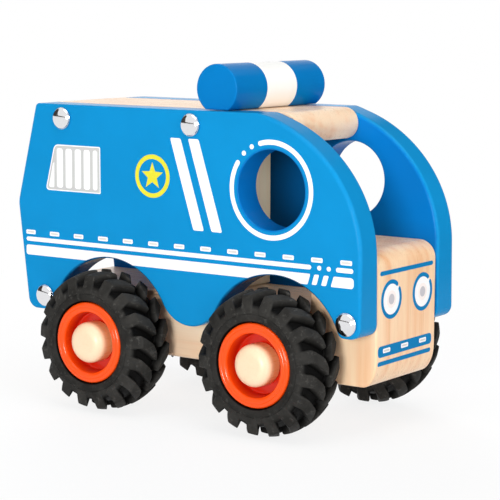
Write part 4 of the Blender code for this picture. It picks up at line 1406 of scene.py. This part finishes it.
class CAR_OT_stage(bpy.types.Operator):
    """Set up the floor, the white surroundings, the lamps and the camera"""

    bl_idname = "toy_car.stage"
    bl_label = "Stage"

    def execute(self, context):
        scene, sizes = context.scene, settings().stage
        scene.view_settings.view_transform = "Standard"
        self.surroundings(scene, sizes)
        self.floor(scene)
        aim = np.array((sizes.target_x, 0, sizes.target_z))
        lamps = (
            ("side_lamp", (0.46, -1.20, 0.14), 0.4, sizes.key, True),
            ("front_lamp", (1.20, -0.36, 0.32), 0.75, sizes.front, True),
            ("rear_lamp", (-0.95, 1.0, 0.45), 0.8, sizes.rear, False),
            ("top_lamp", (0.3, -0.25, 1.27), 1.1, sizes.top, True),
        )
        for name, offset, size, power, mirrored in lamps:
            self.lamp(scene, name, aim, np.array(offset), size, power, mirrored)
        self.dark_walls(scene)
        self.camera(scene, sizes, aim)
        return {"FINISHED"}

    def seen(self, tree):
        """1 for rays that show the surroundings directly, in a mirror or through glass, otherwise 0."""
        path = add(tree, "LightPath").outputs
        both = maths(tree, "MAXIMUM", path["Is Camera Ray"], path["Is Glossy Ray"])
        return maths(tree, "MAXIMUM", both, path["Is Transmission Ray"])

    def surroundings(self, scene, sizes):
        """A world that looks white and lights the car evenly and dimly."""
        world = bpy.data.worlds.new("white_studio")
        world.use_nodes = True
        tree = world.node_tree
        tree.nodes.clear()
        even, white = (add(tree, "Background", None, Color=(1, 1, 1, 1), Strength=strength).outputs[0]
                       for strength in (sizes.ambient, 1.0))
        mix = add(tree, "MixShader", None, _0=self.seen(tree), _1=even, _2=white).outputs[0]
        add(tree, "OutputWorld", None, Surface=mix)
        scene.world = world

    def stage_piece(self, scene, name, points, faces, material, hidden_from=()):
        """A mesh that belongs to the stage and not to the car, hidden from some kinds of rays."""
        mesh = bpy.data.meshes.new(name)
        mesh.from_pydata(points.tolist(), [], faces)
        mesh.materials.append(material)
        piece = bpy.data.objects.new(name, mesh)
        for kind in hidden_from:
            setattr(piece, "visible_" + kind, False)
        scene.collection.objects.link(piece)

    def glow(self, tree, *tint):
        """Light of a colour from a surface."""
        return add(tree, "Emission", None, Color=(*tint, 1), Strength=1.0).outputs[0]

    def floor(self, scene):
        """A pale round floor, as rings of growing radius round a middle point, just below the wheels."""
        rows, columns, radius, drop = 12, 96, 3.0, 0.0003
        radii = np.linspace(0, 1, rows)[1:] ** 2 * radius
        a = np.linspace(0, 2 * math.pi, columns, endpoint=False)
        ring = np.stack((np.cos(a), np.sin(a), np.zeros(columns)), axis=-1)
        points = (radii[:, None, None] * ring).reshape(-1, 3)
        points = np.concatenate((points, np.zeros((1, 3)))) - (0, 0, drop)
        first = np.arange(columns)
        fan = np.column_stack((np.full(columns, len(points) - 1), first, np.roll(first, -1)))
        faces = fan.tolist() + grid_quads(rows - 1, columns)[:, ::-1].tolist()
        self.stage_piece(scene, "floor", points, faces, self.floor_finish())

    def floor_finish(self):
        """Pale matt floor that shows the car's shadow and fades to white away from it."""
        material, tree, shader = new_material("pale_floor")
        tree.nodes.remove(shader)
        far = add(tree, "VectorMath", {"operation": "LENGTH"}, _0=coordinates(tree)).outputs["Value"]
        fade_start, fade_end, shadow = 0.16, 0.42, 0.17
        near = ranged(tree, far, fade_start, fade_end, shadow, 0.0)
        matt, pale = (add(tree, "BsdfDiffuse", None, Color=(grey, grey, grey, 1)).outputs[0]
                      for grey in (0.96, 0.8))
        shown = add(tree, "MixShader", None, _0=near, _1=self.glow(tree, 1, 1, 1), _2=matt).outputs[0]
        mix = add(tree, "MixShader", None, _0=self.seen(tree), _1=pale, _2=shown).outputs[0]
        tree.links.new(mix, tree.nodes["Material Output"].inputs["Surface"])
        return material

    def dark_walls(self, scene):
        """Two dim walls that only mirrors show, far to the car's rear right and close to its front left.

        The far one is tall at one end and a thin band along the rest.
        """
        a = np.radians(np.linspace(172, 335, 60))
        tall = smooth_step((math.radians(226) - a) / math.radians(16))
        low, high = np.full(a.shape, 0.2), 0.32 + 1.3 * tall
        self.dark_wall(scene, "far_dark_wall", 2.0, a, low, high)
        a = np.radians(np.linspace(38, 100, 30))
        low, high = np.zeros(a.shape), np.full(a.shape, 0.40)
        self.dark_wall(scene, "near_dark_wall", 0.42, a, low, high)

    def dark_wall(self, scene, name, radius, a, low, high):
        """A strip round the car between two heights, radius * (cos a, sin a)."""
        x, y = radius * np.cos(a), radius * np.sin(a)
        points = np.concatenate([np.column_stack((x, y, z)) for z in (low, high)])
        faces = grid_quads(2, len(a), close_columns=False).tolist()
        hidden_from = ("camera", "diffuse", "transmission", "volume_scatter", "shadow")
        self.stage_piece(scene, name, points, faces, shared("dim_grey", self.dim_finish), hidden_from)

    def dim_finish(self, name):
        """A dim, warm grey that no lamp changes."""
        material, tree, shader = new_material(name)
        tree.nodes.remove(shader)
        tree.links.new(self.glow(tree, 0.06, 0.05, 0.045), tree.nodes["Material Output"].inputs["Surface"])
        return material

    def lamp(self, scene, name, aim, offset, size, power, mirrored):
        """A round lamp that looks at its aim from an offset, and that mirrors show or leave out."""
        light = bpy.data.lights.new(name, "AREA")
        light.shape = "DISK"
        light.size = size
        light.energy = power
        lamp = bpy.data.objects.new(name, light)
        lamp.matrix_world = self.looking(aim + offset, offset / np.linalg.norm(offset), 0.0)
        lamp.visible_glossy = mirrored
        scene.collection.objects.link(lamp)

    def looking(self, place, back, roll):
        """The place of a lamp or camera whose back points along a direction, turned by a roll about it."""
        right = np.array((-back[1], back[0], 0.0))
        if np.linalg.norm(right) < 1e-6:
            right = np.array((1.0, 0, 0))
        right /= np.linalg.norm(right)
        up = np.cross(back, right)
        x = math.cos(roll) * right + math.sin(roll) * up
        y = -math.sin(roll) * right + math.cos(roll) * up
        return Matrix([[x[k], y[k], back[k], place[k]] for k in range(3)] + [[0, 0, 0, 1]])

    def camera(self, scene, sizes, aim):
        """The camera at the photograph's viewing angle."""
        az, el = sizes.azimuth, sizes.elevation
        back = np.array((math.sin(az) * math.cos(el), -math.cos(az) * math.cos(el), math.sin(el)))
        data = bpy.data.cameras.new("camera")
        data.lens = sizes.lens
        data.sensor_width = 36
        camera = bpy.data.objects.new("camera", data)
        camera.matrix_world = self.looking(aim + back * sizes.distance, back, sizes.roll)
        scene.collection.objects.link(camera)
        scene.camera = camera


OPERATORS = (CAR_OT_side_panels, CAR_OT_wood_blocks, CAR_OT_light_bar, CAR_OT_screws, CAR_OT_axles,
             CAR_OT_rims, CAR_OT_tyres, CAR_OT_hub_caps, CAR_OT_panel_prints, CAR_OT_bonnet_prints,
             CAR_OT_stage)


class CAR_PT_sidebar(bpy.types.Panel):
    """Lists the pieces of the toy car"""

    bl_idname = "CAR_PT_sidebar"
    bl_label = "Toy car"
    bl_space_type = "VIEW_3D"
    bl_region_type = "UI"
    bl_category = "Toy car"

    def draw(self, context):
        for operator in OPERATORS:
            self.layout.operator(operator.bl_idname)


CLASSES = (PanelSizes, BlockSizes, WheelSizes, PrintSizes, CarColours, StageSettings, ToyCarSettings,
           *OPERATORS, CAR_PT_sidebar)


def register():
    for item in CLASSES:
        bpy.utils.register_class(item)
    bpy.types.Scene.toy_car = PointerProperty(type=ToyCarSettings)


def unregister():
    del bpy.types.Scene.toy_car
    for item in reversed(CLASSES):
        bpy.utils.unregister_class(item)


def main():
    register()
    for operator in OPERATORS:
        group, name = operator.bl_idname.split(".")
        getattr(getattr(bpy.ops, group), name)()
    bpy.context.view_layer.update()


if __name__ == "__main__":
    main()
